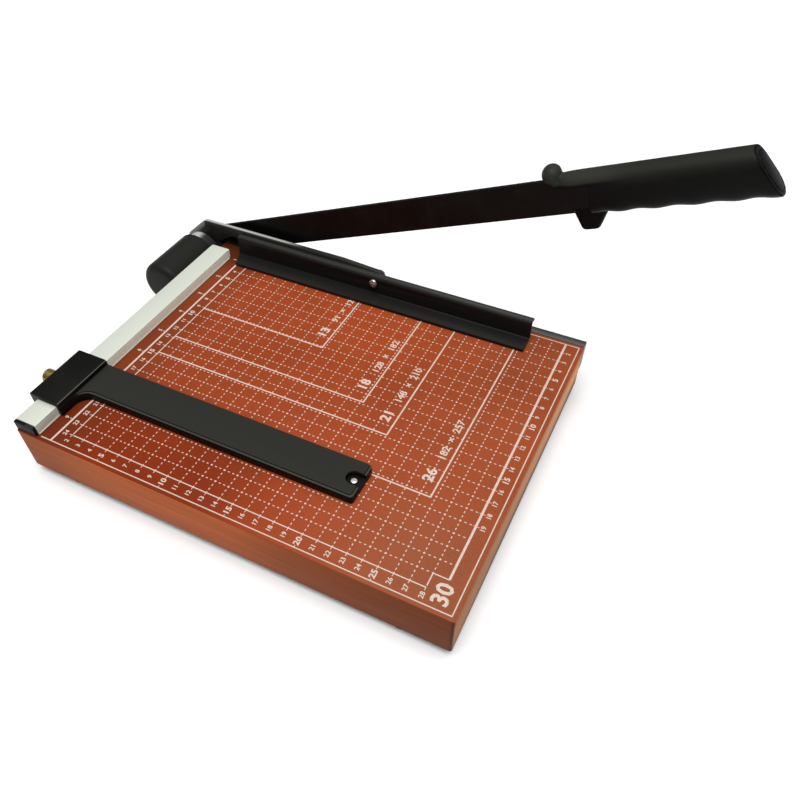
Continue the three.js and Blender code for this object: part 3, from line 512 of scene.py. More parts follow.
class Finish:
    """A material with one shader, fed by patterns on the cutter's own millimetres."""

    def __init__(self, name, arm=False, **sockets):
        self.material = bpy.data.materials.new(name)
        self.material.use_nodes = True
        self.tree = self.material.node_tree
        self.tree.nodes.clear()
        self.shader = self.node("ShaderNodeBsdfPrincipled")
        self.node("ShaderNodeOutputMaterial", None, {"Surface": self.shader.outputs[0]})
        home = ARM_TO_ROW.translation if arm else HOME
        raw = self.node("ShaderNodeTexCoord").outputs["Object"]
        self.place = self.value(
            "ShaderNodeMapping", {"vector_type": "TEXTURE"},
            {"Vector": raw, "Location": home, "Rotation": (0, -RAISED if arm else 0, 0),
             "Scale": (MM, MM, MM)})
        apart = self.node("ShaderNodeSeparateXYZ", None, {0: self.place}).outputs
        self.x, self.y, self.z = (Value(self, apart[i]) for i in range(3))
        for label, value in sockets.items():
            self.feed(self.shader.inputs[label.replace("_", " ")], value)

    def feed(self, socket, value):
        """Links a socket to a value, or sets it to a number, vector or colour."""
        if isinstance(value, Value):
            value = value.socket
        if isinstance(value, bpy.types.NodeSocket):
            self.tree.links.new(value, socket)
        elif socket.type == "RGBA" and len(value) == 3:
            socket.default_value = (*value, 1)
        else:
            socket.default_value = value

    def node(self, kind, settings=None, inputs=None):
        """A node with its settings, then its sockets by name or number."""
        made = self.tree.nodes.new(kind)
        for key, value in (settings or {}).items():
            setattr(made, key, value)
        for key, value in (inputs or {}).items():
            self.feed(made.inputs[key], value)
        return made

    def value(self, kind, settings=None, inputs=None, output=0):
        return Value(self, self.node(kind, settings, inputs).outputs[output])

    def vector(self, operation, inputs):
        return self.value("ShaderNodeVectorMath", {"operation": operation}, inputs)

    def scaled(self, colour, factor):
        """A colour that comes from a socket, made darker or lighter."""
        return self.vector("SCALE", {0: colour, "Scale": factor})

    def noise(self, scale, detail=3.0, vector=None, roughness=0.5, distortion=0.0):
        return self.value("ShaderNodeTexNoise", None, {
            "Vector": vector or self.place, "Scale": scale, "Detail": detail,
            "Roughness": roughness, "Distortion": distortion}, "Fac")

    def grain(self, across, detail, roughness=0.5, distortion=0.0):
        """Noise with each axis squeezed or stretched."""
        place = self.vector("MULTIPLY", {0: self.place, 1: across})
        return self.noise(1.0, detail, place, roughness, distortion)

    def mix(self, share, first, second):
        return self.value(
            "ShaderNodeMix", {"data_type": "RGBA"}, {0: share, 6: first, 7: second}, 2)

    def layered(self, ground, *layers):
        """A ground colour under layers of (share, colour)."""
        for share, colour in layers:
            ground = self.mix(share, ground, colour)
        return ground

    def bump(self, height, depth, under=None):
        """Relief of a depth in millimetres, over another relief if one is given."""
        inputs = {"Height": height, "Distance": depth * MM, "Strength": 1.0}
        if under:
            inputs["Normal"] = under
        return self.value("ShaderNodeBump", None, inputs)

    def done(self, colour, roughness, relief=None, metallic=None):
        """Feeds the shader with what varies, and hands out the material."""
        for label, value in (
                ("Base Color", colour), ("Roughness", roughness), ("Normal", relief),
                ("Metallic", metallic)):
            if value is not None:
                self.feed(self.shader.inputs[label], value)
        return self.material


def shade(colour, factor):
    """A plain colour, made darker or lighter."""
    return tuple(min(1.0, c * factor) for c in colour)


MADE = {}


def finish(build):
    """Builds a material once and hands out the same one afterwards."""
    if build.__name__ not in MADE:
        MADE[build.__name__] = build(bpy.context.scene.cutter_finish)
    return MADE[build.__name__]


def printed_board(colours):
    """Lacquered top, stained front and back, bare ends and a dark underside, with painted shade
    beside the rail, on the stained faces and at the ends' lower front.
    """
    f = Finish("printed_board", Specular_IOR_Level=0.07)
    top = f.z > BOARD_TOP - 0.35
    end = abs(f.x) > -BOARD_LEFT - 0.75
    under = f.z < 0.4
    long_grain = f.grain((0.012, 0.25, 0.42), 6.0, 0.6, 0.4)
    end_grain = f.grain((0.2, 0.014, 0.40), 6.0, 0.6, 0.5)
    fine = f.grain((0.06, 0.9, 1.6), 4.0, 0.7)
    fine_end = f.grain((0.9, 0.06, 1.6), 4.0, 0.7)
    cloud, speck, rough = f.noise(0.012, 3.0), f.noise(0.9, 3.0), f.noise(0.35, 4.0)
    grain = (long_grain * 0.75 + fine * 0.25).eased(0.25, 0.75)
    stain, bare = colours.stain, colours.bare_wood
    deep = f.mix(grain, shade(stain, 0.28), shade(stain, 0.44))
    # Painted shade darkens the stained faces towards the right end; they are also darker towards
    # the left end, along the top edge and towards the bottom.
    edges = f.x.eased(-90, -150) * 0.4 + f.z.eased(35.0, 35.5) * 0.4 + f.z.eased(12, 2) * 0.15
    face = f.layered(
        f.mix(grain, shade(stain, 0.78), shade(stain, 1.22)),
        (f.x.eased(-5, 170) * 0.55 + f.x.eased(0, 60) * 0.45, deep), (edges, deep))
    across = (end_grain * 0.65 + fine_end * 0.35).eased(0.34, 0.66)
    ends = f.mix(across, shade(bare, 0.72), shade(bare, 1.12))
    # Painted shadow darkens the lower front of each end towards the floor; the ends are also
    # lighter towards the back and stained near the top.
    ends = f.layered(
        f.mix(f.y.eased(-120, 120), f.scaled(ends, 0.9), f.scaled(ends, 1.65)),
        (f.z.eased(15, 3) * f.y.eased(-140, -40), (0.12, 0.075, 0.048)),
        ((f.z + end_grain * 8.0).eased(31.5, 36.5) * 0.7, shade(stain, 0.8)))
    corner = f.x.eased(158.4, 159.6) * f.y.eased(BOARD_FRONT + 1.4, BOARD_FRONT + 0.6)
    sides = f.layered(face, (end, ends), (corner * 0.85, (0.05, 0.02, 0.01)))
    front = f.y.eased(-30, -95)
    # Painted shade on the top beside the rail, deepest between the rail's back end and the hinge.
    rail_shade = f.x.eased(-95, -135) * 0.5 + f.x.eased(-90, -135) * f.y.eased(80, 112) * 0.45
    lacquer = f.layered(
        colours.lacquer,
        (front * f.x.eased(70, -30) * 0.85, (0.185, 0.019, 0.001)),
        (f.x.eased(20, 150) * 0.45 + front * f.x.eased(40, 140) * 0.55, (0.245, 0.066, 0.026)),
        (rail_shade, (0.085, 0.020, 0.008)))
    clouded = (cloud * 0.6 + speck * 0.4).eased(0.35, 0.65)
    lacquer = f.mix(clouded, f.scaled(lacquer, 0.88), f.scaled(lacquer, 1.14))
    below = f.mix(fine, shade(stain, 0.06), shade(stain, 0.12))
    return f.done(
        f.layered(sides, (top, lacquer), (under, below)),
        f.mix(top, fine * 0.2 + 0.48, rough * 0.14 + 0.36),
        f.bump(fine + f.noise(0.12, 3.0) * 0.6, 0.06, f.bump(speck, 0.02)))


def print_ink(colours):
    ink = bpy.context.scene.cutter_print.ink
    f = Finish("print_ink", Specular_IOR_Level=0.2)
    wear = f.noise(0.7, 4.0)
    return f.done(
        f.mix(wear.eased(0.3, 0.7), shade(ink, 0.9), shade(ink, 1.06)), wear * 0.2 + 0.4)


def moulded(f, colours, tone, *zones):
    """Black plastic with grain and handling marks, under zones of (share, shade)."""
    grain = f.noise(2.4, 2.0)
    handled = f.noise(0.035, 4.0, roughness=0.6)
    plain = f.mix(
        handled.eased(0.35, 0.7), shade(colours.plastic, 0.85 * tone),
        shade(colours.plastic, 1.5 * tone))
    colour = f.layered(plain, *((share, shade(colours.plastic, k)) for share, k in zones))
    return f.done(colour, handled * 0.16 + grain * 0.10 + 0.30, f.bump(grain, 0.035))


def black_plastic(colours):
    """Plastic of the stop and the spring cover, with painted highlights on the arm's top, its
    ledge and the saddle's edge, and lighter on the spring cover.
    """
    f = Finish("black_plastic", Specular_IOR_Level=0.09)
    # Painted highlights: a sheen on the arm's top, a line along its ledge and a line along the
    # saddle's upper edge.
    arm_top = abs(f.z - 44).eased(0.5, 0.1) * (f.x > -150)
    ledge_highlight = abs(f.z - 43).eased(0.35, 0.1) * (f.x > -139)
    saddle_highlight = abs(f.x - f.z + 188.05).eased(0.55, 0.2) * (f.z > 46.8) * (f.x > -145)
    cover = f.y > 56
    return moulded(
        f, colours, 1.0, (arm_top, 5.0), (ledge_highlight, 11.0), (saddle_highlight, 28.0), (cover, 3.2))


def black_plastic_arm(colours):
    """The same plastic in the blade arm's own frame, for the grip, with painted light and shade on
    it.
    """
    f = Finish("black_plastic_arm", True, Specular_IOR_Level=0.09)
    # Painted light and shade on the grip: a painted sheen on its top, a painted highlight on the
    # knob with painted shade below it, a painted reflection along the lower rim and painted shade
    # on the end cap.
    top = f.z.eased(6, 16)
    nose = f.x.eased(375, 345)
    rim_reflection = f.z.eased(-8.0, -11.0) * (f.x > 352)
    end = f.x + f.z * 0.49 > 444.2
    # At half tone, the plain plastic stands for painted shade on the grip's sides.
    return moulded(
        f, colours, 0.5, (top, 4.5), (nose * f.z.eased(10.5, 14), 6.5),
        (nose * f.z.eased(12.5, 11), 0.5), (rim_reflection, 7.0), (end, 0.25))


def black_enamel(colours):
    """Enamel of the lever and the press bar, with bare metal and a painted highlight along the
    lever's upper edge, and a painted sheen on the bar's rolled top.
    """
    f = Finish("black_enamel", Specular_IOR_Level=0.16)
    peel = f.noise(0.55, 2.0)
    dust = f.noise(0.05, 5.0, roughness=0.65)
    lever = f.y > 118.9
    hub = lever * f.x.eased(-164, -170)
    crown = (f.z - 41.3) * 0.765 - (f.x + 192.9) * 0.644
    # The lever's upper edge and its crown's slanted edge are partly bare metal and partly a
    # painted highlight.
    bare_edge_highlight = (f.y > 120.5) * f.z.eased(54.0, 54.5) * f.x.eased(-75, -100)
    bare_edge_highlight = bare_edge_highlight + lever * crown.eased(-5.0, -1.0) * (f.x < -176) * 0.5
    # Painted sheen on the rolled bead along the press bar's top.
    bead_sheen = (f.z > 52.6) * (f.y < 118.9)
    colour = f.layered(
        shade(colours.enamel, 2.6), (lever, shade(colours.enamel, 6.5)),
        (hub, shade(colours.enamel, 3.8)), (bare_edge_highlight, (0.38, 0.38, 0.355)),
        (bead_sheen, (0.028, 0.028, 0.024)))
    return f.done(colour, dust * 0.14 + 0.26, f.bump(peel, 0.03))


def blade_steel(colours):
    """Enamelled steel with a bright ground bevel along the lower edge."""
    f = Finish("blade_steel", True, Specular_IOR_Level=0.14)
    peel = f.noise(0.55, 2.0)
    dust = f.noise(0.05, 5.0, roughness=0.65)
    ground = (f.z < -4.4) * (f.y > 0.55)
    lines = f.grain((2.2, 0.3, 0.05), 3.0)
    enamel = f.mix(dust.eased(0.4, 0.75), shade(colours.enamel, 0.8), shade(colours.enamel, 1.7))
    return f.done(
        f.mix(ground, enamel, f.mix(lines, (0.46, 0.46, 0.45), (0.62, 0.62, 0.6))),
        f.mix(ground, dust * 0.14 + 0.26, lines * 0.2 + 0.18),
        f.bump(f.mix(ground, peel, lines), 0.02), ground * 1.0)


def dark_steel(colours):
    f = Finish("dark_steel", Metallic=1.0)
    lines = f.grain((0.03, 1.2, 2.4), 4.0, 0.6)
    stain = f.noise(0.03, 4.0, roughness=0.6)
    steel = f.mix(lines * 0.5 + stain * 0.5, (0.06, 0.058, 0.056), (0.20, 0.195, 0.185))
    return f.done(
        # Painted shade: the strip turns nearly black at its left end, by the hinge.
        f.mix(f.x.eased(-110, -135), steel, (0.02, 0.019, 0.018)),
        lines * 0.2 + stain * 0.12 + 0.22, f.bump(lines, 0.015))


def rail_aluminium(colours):
    """Brushed top and a paler inner side, which is darker at its front end."""
    f = Finish("rail_aluminium")
    lines = f.grain((2.6, 0.02, 2.6), 4.0, 0.6)
    haze = f.noise(0.04, 3.0)
    metal = f.mix(
        lines * 0.5 + haze * 0.5, shade(colours.aluminium, 0.92), shade(colours.aluminium, 1.05))
    side = (f.z < 43.6) * (f.z > 37.2)
    bright = f.mix(lines, (0.86, 0.93, 0.77), (1.0, 1.0, 0.89))
    bright = f.mix(f.y.eased(-95, -105) * 0.5, bright, (0.3, 0.29, 0.25))
    return f.done(
        f.mix(side, metal, bright), lines * 0.16 + 0.3, f.bump(lines, 0.008), (1 - side) * 0.3)


def bright_steel(colours):
    f = Finish("bright_steel", Metallic=1.0)
    marks = f.noise(1.3, 4.0)
    return f.done(
        f.mix(marks, (0.55, 0.55, 0.53), (0.74, 0.74, 0.71)), marks * 0.16 + 0.14,
        f.bump(marks, 0.01))


def cast_zinc(colours):
    """Cast boss, bright on top of its rim, with painted shade towards the rail."""
    f = Finish("cast_zinc", Metallic=0.35)
    cast = f.noise(0.8, 4.0, roughness=0.6)
    # Painted shade darkens the boss towards the rail.
    boss_shade = (f.x + cast * 4.0).eased(-180, -173)
    zinc_colour = f.mix(cast, (0.62, 0.61, 0.58), (0.78, 0.77, 0.74))
    return f.done(
        f.mix(boss_shade, zinc_colour, (0.045, 0.043, 0.04)), cast * 0.12 + 0.12, f.bump(cast, 0.04))


def turned_brass(colours):
    f = Finish("turned_brass", Metallic=1.0)
    rings = f.grain((4.0, 0.4, 0.4), 3.0)
    tarnish = f.noise(0.5, 4.0)
    return f.done(
        f.mix(tarnish, shade(colours.brass, 0.72), shade(colours.brass, 1.15)),
        rings * 0.14 + tarnish * 0.12 + 0.16, f.bump(rings, 0.01))


def foot_rubber(colours):
    f = Finish("foot_rubber")
    dust = f.noise(0.6, 4.0)
    return f.done(
        f.mix(dust.eased(0.4, 0.8), (0.014, 0.014, 0.014), (0.05, 0.048, 0.045)),
        dust * 0.2 + 0.65, f.bump(dust, 0.05))


# Pieces


def pin_head(axis, radius, height, face, place):
    """A domed pan head that stands on a face, with a cross recess."""
    under = face - math.copysign(0.05, height)
    skirt = 0.45
    profile = [(under, 0), (under, radius), (face + height * skirt, radius)]
    for k in range(1, FINE_ARC + 1):
        turn = math.pi / 2 * k / FINE_ARC
        profile.append((
            face + height * (skirt + (1 - skirt) * math.sin(turn)),
            radius * math.cos(turn) ** 0.7))
    profile[-1] = (profile[-1][0], 0)
    head = turned(axis, profile, place, SMALL_ROUND)
    return cross_cut(
        head, axis, radius * 0.62, radius * 0.13, face + height, height * 0.5, place)


def cross_cut(head, axis, reach, half, top, depth, place):
    """Cuts a cross recess of a reach, a half width and a depth into a head's top."""
    for wide, narrow in ((reach, half), (half, reach)):
        outline = rectangle(
            place[0] - wide, place[1] - narrow, place[0] + wide, place[1] + narrow)
        over = top + (0.5 if depth > 0 else -0.5)
        combined(head, "DIFFERENCE", prism(axis, outline, *sorted((top - depth, over))))
    return head


def flush_head(axis, radius, face, way):
    """A countersunk head with a cross recess, sunk from a face."""
    deep = radius - 1.2
    profile = [(face - way * down, across) for down, across in (
        (0, 0), (0, radius - 0.2), (0.2, radius), (0.5, radius), (deep, radius * 0.45), (deep, 0))]
    head = turned(axis, profile, steps=SMALL_ROUND)
    return cross_cut(head, axis, radius * 0.6, radius * 0.12, face, way * 1.3, (0, 0))


class CUTTER_OT_board(bpy.types.Operator):
    """Dress the wooden board and its steel cutting strip"""

    bl_idname = "cutter.board"
    bl_label = "Board"
    bl_options = OPTIONS

    def execute(self, context):
        dress(finish(printed_board), "base_board")
        dress(finish(dark_steel), "cutting_strip")
        return {"FINISHED"}


class CUTTER_OT_print(bpy.types.Operator):
    """Print the grid, the rulers, the sheet outlines and their figures"""

    bl_idname = "cutter.print"
    bl_label = "Printed scale"
    bl_options = OPTIONS

    # The ink's faces over the board's top: what crosses gets a height of its own
    ink_low = -0.02
    grid_high = 0.035
    cross_rise = 0.005
    line_rise = 0.015
    figure_high = 0.07

    # A figure's height as a share of its text size
    tall_share = 0.73
    tick_width = 0.45
    sheet_line = 1.05
    inch = 25.4
    sheets = ((128, 91), (182, 128), (210, 148), (257, 182))

    def figure(self, text, x, y, height, weight, wide=1.0, left=False):
        """A figure that reads away from the front edge, its middle or its left end at a place."""
        curve = bpy.data.curves.new("figure", "FONT")
        curve.body = text
        curve.size = height / self.tall_share
        curve.align_x = "LEFT" if left else "CENTER"
        curve.align_y = "CENTER"
        curve.offset = weight * height
        curve.extrude = (self.figure_high - self.ink_low) / 2
        curve.resolution_u = 2
        obj = shown(curve, "figure")
        mesh = plain_mesh(obj)
        bpy.data.objects.remove(obj)
        place = PRINT_HOME + Vector((x, y, (self.figure_high + self.ink_low) / 2))
        mesh.transform(
            Matrix.Translation(place) @ Matrix.Rotation(math.pi / 2, 4, "Z")
            @ Matrix.Diagonal((wide, 1, 1, 1)))
        return shown(mesh)

    def execute(self, context):
        size = context.scene.cutter_print
        ink = finish(print_ink)
        tree = row_tree()

        def line(x0, y0, x1, y1, width=size.fine_line, count=1, step=(0, 0), rows=1,
                 row_step=(0, 0)):
            """A line along one axis, repeated along a row and in rows."""
            upright = x0 == x1
            across, along = width, abs(y1 - y0) if upright else abs(x1 - x0)
            wide, deep = (across, along) if upright else (along, across)
            high = (self.grid_high + (self.cross_rise if wide > deep else 0)
                    + (self.line_rise if rows == 1 else 0))
            start = PRINT_HOME + Vector(
                ((x0 + x1) / 2, (y0 + y1) / 2, (high + self.ink_low) / 2))
            return grown(
                tree, Mark_size=(wide, deep, high - self.ink_low), Start=start, Count=count,
                Step=(*step, 0.0), Rows=rows, Row_step=(*row_step, 0.0), Material=ink)

        # The border, the frame of the grid and the two heavy lines of the rulers
        half = size.fine_line / 2
        lines = [
            line(1.6, -250, 300 + half, -250), line(300, -250, 300, -10 + half),
            line(10, -10, 300, -10), line(20, -240, 280, -240), line(20, -240, 20, -10),
            line(10, -250, 10, -10, size.heavy_line),
            line(290, -230, 290, -10, size.heavy_line), line(280, -240, 280, -230),
            line(280, -230, 290, -230)]
        for length, width in self.sheets:
            lines.append(line(20, -width, length + half, -width, self.sheet_line))
            lines.append(line(length, -width, length, -10, self.sheet_line))
        # Ticks: along the front, the long ones there, at the right, at the left, the inches
        for x0, y0, x1, y1, count, step in (
                (20, -242, 20, -238.8, 27, (10, 0)), (50, -250, 50, -248.6, 5, (50, 0)),
                (288.4, -190, 292.2, -190, 18, (0, 10)), (17.6, -240, 21.2, -240, 23, (0, 10)),
                (7.4, -9 * self.inch, 10, -9 * self.inch, 9, (0, self.inch))):
            lines.append(line(x0, y0, x1, y1, self.tick_width, count, step))
        # Dashes at every third of a centimetre, along and across
        pitch = 10 / 3
        long = size.dash / 2
        grid = [
            line(30, -240 - long, 30, -240 + long, size.dash_width, 69, (0, pitch), 26, (10, 0)),
            line(20 - long, -230, 20 + long, -230, size.dash_width, 81, (pitch, 0), 22, (0, 10))]
        # Figures: along the front, at the right, at the left, the inches, the outlines' sizes
        figures = []
        for numbers, place in (
                (range(2, 29), lambda n: (10 * n, -245.3)),
                (range(2, 20), lambda n: (294.7, -10 * n)),
                (range(2, 25), lambda n: (14.6, -10 * n))):
            for n in numbers:
                look = (size.small_figure, 0.032) if n % 5 else (size.large_figure, 0.045, 1.12)
                figures.append(self.figure(str(n), *place(n), *look))
        for n in range(1, 10):
            figures.append(self.figure(str(n), 5.2, -self.inch * n, size.small_figure, 0.035))
        for length, width in self.sheets:
            figures += [
                self.figure(str(round(length / 10)), length - 7.2, -width + 10.5, 7.2, 0.045, 1.1,
                            True),
                self.figure(f"{width}  ×  {length}", length - 6.4, -width + 30, 5.3, 0.03, 1.1,
                            True)]
        figures.append(self.figure("30", 290.6, -240, 10.5, 0.035))
        for name, parts in (
                ("print_lines", lines), ("print_grid", grid), ("print_figures", figures)):
            piece(merged(parts), name, "base", ink)
        return {"FINISHED"}


class CUTTER_OT_rail(bpy.types.Operator):
    """Dress the aluminium rail and its end plugs"""

    bl_idname = "cutter.rail"
    bl_label = "Rail"
    bl_options = OPTIONS

    def execute(self, context):
        dress(finish(rail_aluminium), "rail", "rail_back_cap")
        dress(finish(black_plastic), "rail_front_cap")
        return {"FINISHED"}


class CUTTER_OT_hinge(bpy.types.Operator):
    """Dress the hinge bracket and the bolt's stack, and make the spring cover"""

    bl_idname = "cutter.hinge"
    bl_label = "Hinge"
    bl_options = OPTIONS

    radius = 19.5
    wall = 2.0
    front, back = 56.3, 108.7
    bend = 6.0

    # A groove and a rim near the cover's back: (in from the back, in from the outside)
    rim = ((2.6, 0), (2.4, 0.25), (1.9, 0.25), (1.7, 0), (0.3, 0), (0, 0.3), (0, 2.0))

    def bent(self, inset):
        """A quarter bend from the cover's front to its side, set in from the outside."""
        bend, reach, start = self.bend - inset, self.radius - inset, self.front + inset
        turns = [math.pi / 2 * k / FINE_ARC for k in range(FINE_ARC + 1)]
        return [(start + bend - bend * math.cos(t), reach - bend + bend * math.sin(t))
                for t in turns]

    def execute(self, context):
        steel = finish(bright_steel)
        dress(steel, "spring_back_washer", "spring_front_washer", "pivot_nut")
        dress(steel, "pivot_spring", degrees=80)
        dress(finish(cast_zinc), "hinge_bracket")
        profile = [
            (self.front, 0), *self.bent(0),
            *((self.back - along, self.radius - across) for along, across in self.rim),
            *self.bent(self.wall)[::-1], (self.front + self.wall, 0)]
        cover = turned("y", profile, (PIVOT.x, PIVOT.z), LARGE_ROUND)
        piece(cover, "spring_cover_cup", "base", finish(black_plastic),
              ["spring_cover"], degrees=40)
        dress(steel, "pivot_bolt", "pivot_washer")
        return {"FINISHED"}


class CUTTER_OT_blade(bpy.types.Operator):
    """Dress the blade arm with enamel and a ground bevel"""

    bl_idname = "cutter.blade"
    bl_label = "Blade arm"
    bl_options = OPTIONS

    def execute(self, context):
        dress(finish(blade_steel), "blade_arm")
        return {"FINISHED"}


class CUTTER_OT_handle(bpy.types.Operator):
    """Mould the grip with its thumb knob, finger guard and end cap"""

    bl_idname = "cutter.handle"
    bl_label = "Handle"
    bl_options = OPTIONS

    # The grip in the arm's frame: where it starts, its length, height and width
    start = 325.4
    length = 111.4
    top = 16.8
    front_bottom = 9.9
    back_bottom = 12.5
    half_width = 10.0
    middle = 1.5

    # Its nose, its finger waves, the slant of its end and how square its sections are
    nose_length = 14
    nose_least, nose_gain = 0.42, 0.58
    wave_length = 18
    wave_depth = 0.55
    slant = 0.49
    square = 2.9
    steps = 72

    guard_length = 23.0
    guard_low = -23.6
    guard_across = (0.3, 10.1)
    knob = (6.4, 7.5, 6.2)
    knob_ahead = 4.6
    knob_lift = 0.8
    neck_radius = 6.2
    neck_drop = 6.5

    # The slot for the blade's end and its tang: (along, low, high)
    blade_end = (331.7, -10.5, 14.1)
    tang_end = (401.7, -7.8, 7.8)
    slot_across = (-0.3, 3.3)
    notch_end = 344.3
    screws = (30, 66)

    def bottom(self, along):
        """The height of the grip's underside, with its finger waves."""
        share = along / self.length
        wave = math.cos(2 * math.pi * along / self.wave_length)
        drop = self.front_bottom + (self.back_bottom - self.front_bottom) * share
        swing = min(max((along - self.guard_length + 3) / 6, 0), 1)
        return -drop - self.wave_depth * wave * swing

    def loop(self, along, border=0.0, lift=0.0):
        """The grip's outline at a place, drawn in by a border and lifted along the arm."""
        nose = min(max(along / self.nose_length, 0), 1)
        fullness = self.nose_least + self.nose_gain * math.sqrt(1 - (1 - nose) ** 2)
        t = min(max((along - self.guard_length) / (self.length - self.guard_length), 0), 1)
        slant = self.slant * t * t * (3 - 2 * t)
        top = self.top - border
        low = self.bottom(along) + border
        narrow = self.top - self.front_bottom
        low = narrow + (low - narrow) * fullness
        half = self.half_width * fullness - border
        tall = (top - low) / 2

        def curve(value):
            return math.copysign(abs(value) ** (2 / self.square), value)

        points = []
        for k in range(self.steps):
            turn = 2 * math.pi * k / self.steps
            z = (top + low) / 2 + tall * curve(math.sin(turn))
            y = self.middle + half * curve(math.cos(turn))
            points.append((self.start + along + lift + slant * (self.top - z), y, z))
        return points

    def ball(self):
        """The ball of the thumb knob."""
        bm = bmesh.new()
        bmesh.ops.create_uvsphere(bm, u_segments=48, v_segments=32, radius=1.0)
        bmesh.ops.scale(bm, vec=self.knob, verts=bm.verts)
        bmesh.ops.translate(
            bm, vec=(self.start - self.knob_ahead, self.middle, self.top + self.knob_lift),
            verts=bm.verts)
        mesh = bpy.data.meshes.new("knob")
        bm.to_mesh(mesh)
        bm.free()
        return shown(mesh)

    def guard(self):
        """The plate that keeps the fingers off the blade."""
        start, low, drop = self.start + 5, self.guard_low, -self.front_bottom
        end = start + self.guard_length
        plate = prism("y", rounded([
            (start, 0), (end, 0), (end, drop), (start + 14.5, low, 3.6),
            (start + 3.5, low, 3.6), (start, drop, 3)]), *self.guard_across)
        return eased(plate, 1.8, 4)

    def cuts(self, places):
        """Room for the blade's end and tang, the end cap and the two screws."""
        shoulder, low, high = self.blade_end
        tip, tang_low, tang_high = self.tang_end
        notch = prism("y", rectangle(0, -40, self.notch_end, 9.9), -20, 0.3)
        slot = prism("y", [
            (0, low), (shoulder, low), (shoulder, tang_low), (tip, tang_low), (tip, tang_high),
            (shoulder, tang_high), (shoulder, high), (0, high)], *self.slot_across)
        recess = loft([self.loop(self.length, 2.6, lift) for lift in (-2.4, 3)])
        wells = [
            rod("y", radius, face, 20, place, SMALL_ROUND)
            for place in places for radius, face in ((2.3, 0), (4.1, 5.9))]
        return notch, slot, recess, *wells

    def execute(self, context):
        plastic = finish(black_plastic_arm)
        places = [(self.start + along, 0) for along in self.screws]
        body = loft([self.loop(self.length * k / self.steps) for k in range(self.steps + 1)])
        neck = rod("x", self.neck_radius, self.start - self.knob_ahead,
                   self.start + self.nose_length, (self.middle, self.top - self.neck_drop))
        combined(body, "UNION", self.ball(), self.guard(), neck)
        remesh = body.modifiers.new("skin", "REMESH")
        remesh.mode = "VOXEL"
        remesh.voxel_size = 0.55
        soften = body.modifiers.new("soften", "SMOOTH")
        soften.factor = 0.5
        soften.iterations = 6
        settled(body)
        combined(body, "DIFFERENCE", *self.cuts(places))
        piece(body, "grip", "blade", plastic, ["handle"], ARM_TO_ROW, 40)
        cap = loft([self.loop(self.length, 2.9, lift) for lift in (-2.1, 0.25)])
        eased(cap, 0.45, 3, 50)
        piece(cap, "grip_end_cap", "blade", plastic, ["handle_end_cap"],
              ARM_TO_ROW, 40)
        heads = [pin_head("y", 3.8, 2.3, 6.2, place) for place in places]
        shanks = [rod("y", 2.0, 0.3, 6.3, place, SMALL_ROUND) for place in places]
        piece(merged(heads + shanks), "grip_screws", "blade",
              finish(bright_steel), ["handle_screw_1", "handle_screw_2"], ARM_TO_ROW)
        return {"FINISHED"}


class CUTTER_OT_clamp(bpy.types.Operator):
    """Make the flat lever and the folded press bar that hangs on it"""

    bl_idname = "cutter.clamp"
    bl_label = "Press bar"
    bl_options = OPTIONS

    # The lever: its faces across, its edges, its hub, boss and bore, and the bar's screw
    front, back, boss_back = 119.2, 123.2, 129.7
    low, top = 47.0, 55.2
    hub, boss, bore = 19.0, 11.0, 4.3
    hole = (-8.35, 47.5)
    eye, hole_radius = 5.5, 2.3

    # The bar: its ends and the slant of the left one, its sheet, web and foot
    left, right = -132.35, 121.65
    slant = 5.2
    thick = 1.6
    web, foot = 113.2, 15.2

    def lever(self):
        """The flat lever from the pivot to the press bar's screw."""
        hole, axis = self.hole, (PIVOT.x, PIVOT.z)
        front, back = self.front, self.back

        def on_hub(degrees):
            turn = math.radians(degrees)
            return axis[0] + self.hub * math.cos(turn), axis[1] + self.hub * math.sin(turn)

        outline = rounded([
            on_hub(130), (axis[0] + 4.2, self.top, 9), (hole[0] - 32, self.top, 30),
            (hole[0], hole[1] + self.eye), (hole[0], hole[1] - self.eye),
            (hole[0] - 32, self.low, 30), (BOARD_LEFT + 11, self.low, 8), on_hub(35),
            axis][::-1], 12)
        side = prism("y", outline, front, back)
        combined(
            side, "UNION", rod("y", self.hub, front, back, axis, LARGE_ROUND),
            rod("y", self.eye, front, back, hole),
            rod("y", self.boss, front, self.boss_back, axis))
        combined(
            side, "DIFFERENCE", rod("y", self.bore, front - 2, 132, axis),
            rod("y", self.hole_radius, front - 2, 125, hole, SMALL_ROUND))
        return eased(side, 0.35, 2, 40)

    def bar(self):
        """The folded sheet that presses the paper, its left end cut at a slant."""
        web, foot = self.web, self.foot
        sole = BOARD_TOP + GAP + self.thick / 2
        shoulder, high = BOARD_TOP + 15, BOARD_TOP + 17
        section = sheet([
            (web - foot, sole), (web, sole, 1.4), (web, shoulder, 1.4), (web + 2, high, 1.2),
            (web + 4.6, high, 1.2), (web + 4.6, high - 2)], self.thick)
        bar = prism("x", section, self.left, self.right)
        combined(
            bar, "DIFFERENCE", rod("y", self.hole_radius, 100, 120, self.hole, SMALL_ROUND))
        for vertex in bar.data.vertices:
            if vertex.co.x < self.left + GAP:
                vertex.co.x -= self.slant * min((vertex.co.y - web + foot) / foot, 1)
        return eased(bar, 0.22, 2, 40)

    def execute(self, context):
        enamel = finish(black_enamel)
        steel = finish(bright_steel)
        piece(self.lever(), "lever", "clamp", enamel, ["clamp_lever"])
        piece(self.bar(), "folded_bar", "bar", enamel, ["press_bar"])
        head = pin_head("y", 3.5, -2.2, 112.1, self.hole)
        shank = rod("y", 2.0, 112.0, 127.0, self.hole, SMALL_ROUND)
        piece(merged([head, shank]), "bar_pin", "clamp", steel, ["bar_screw"])
        dress(steel, "bar_spacer", "bar_nut")
        return {"FINISHED"}


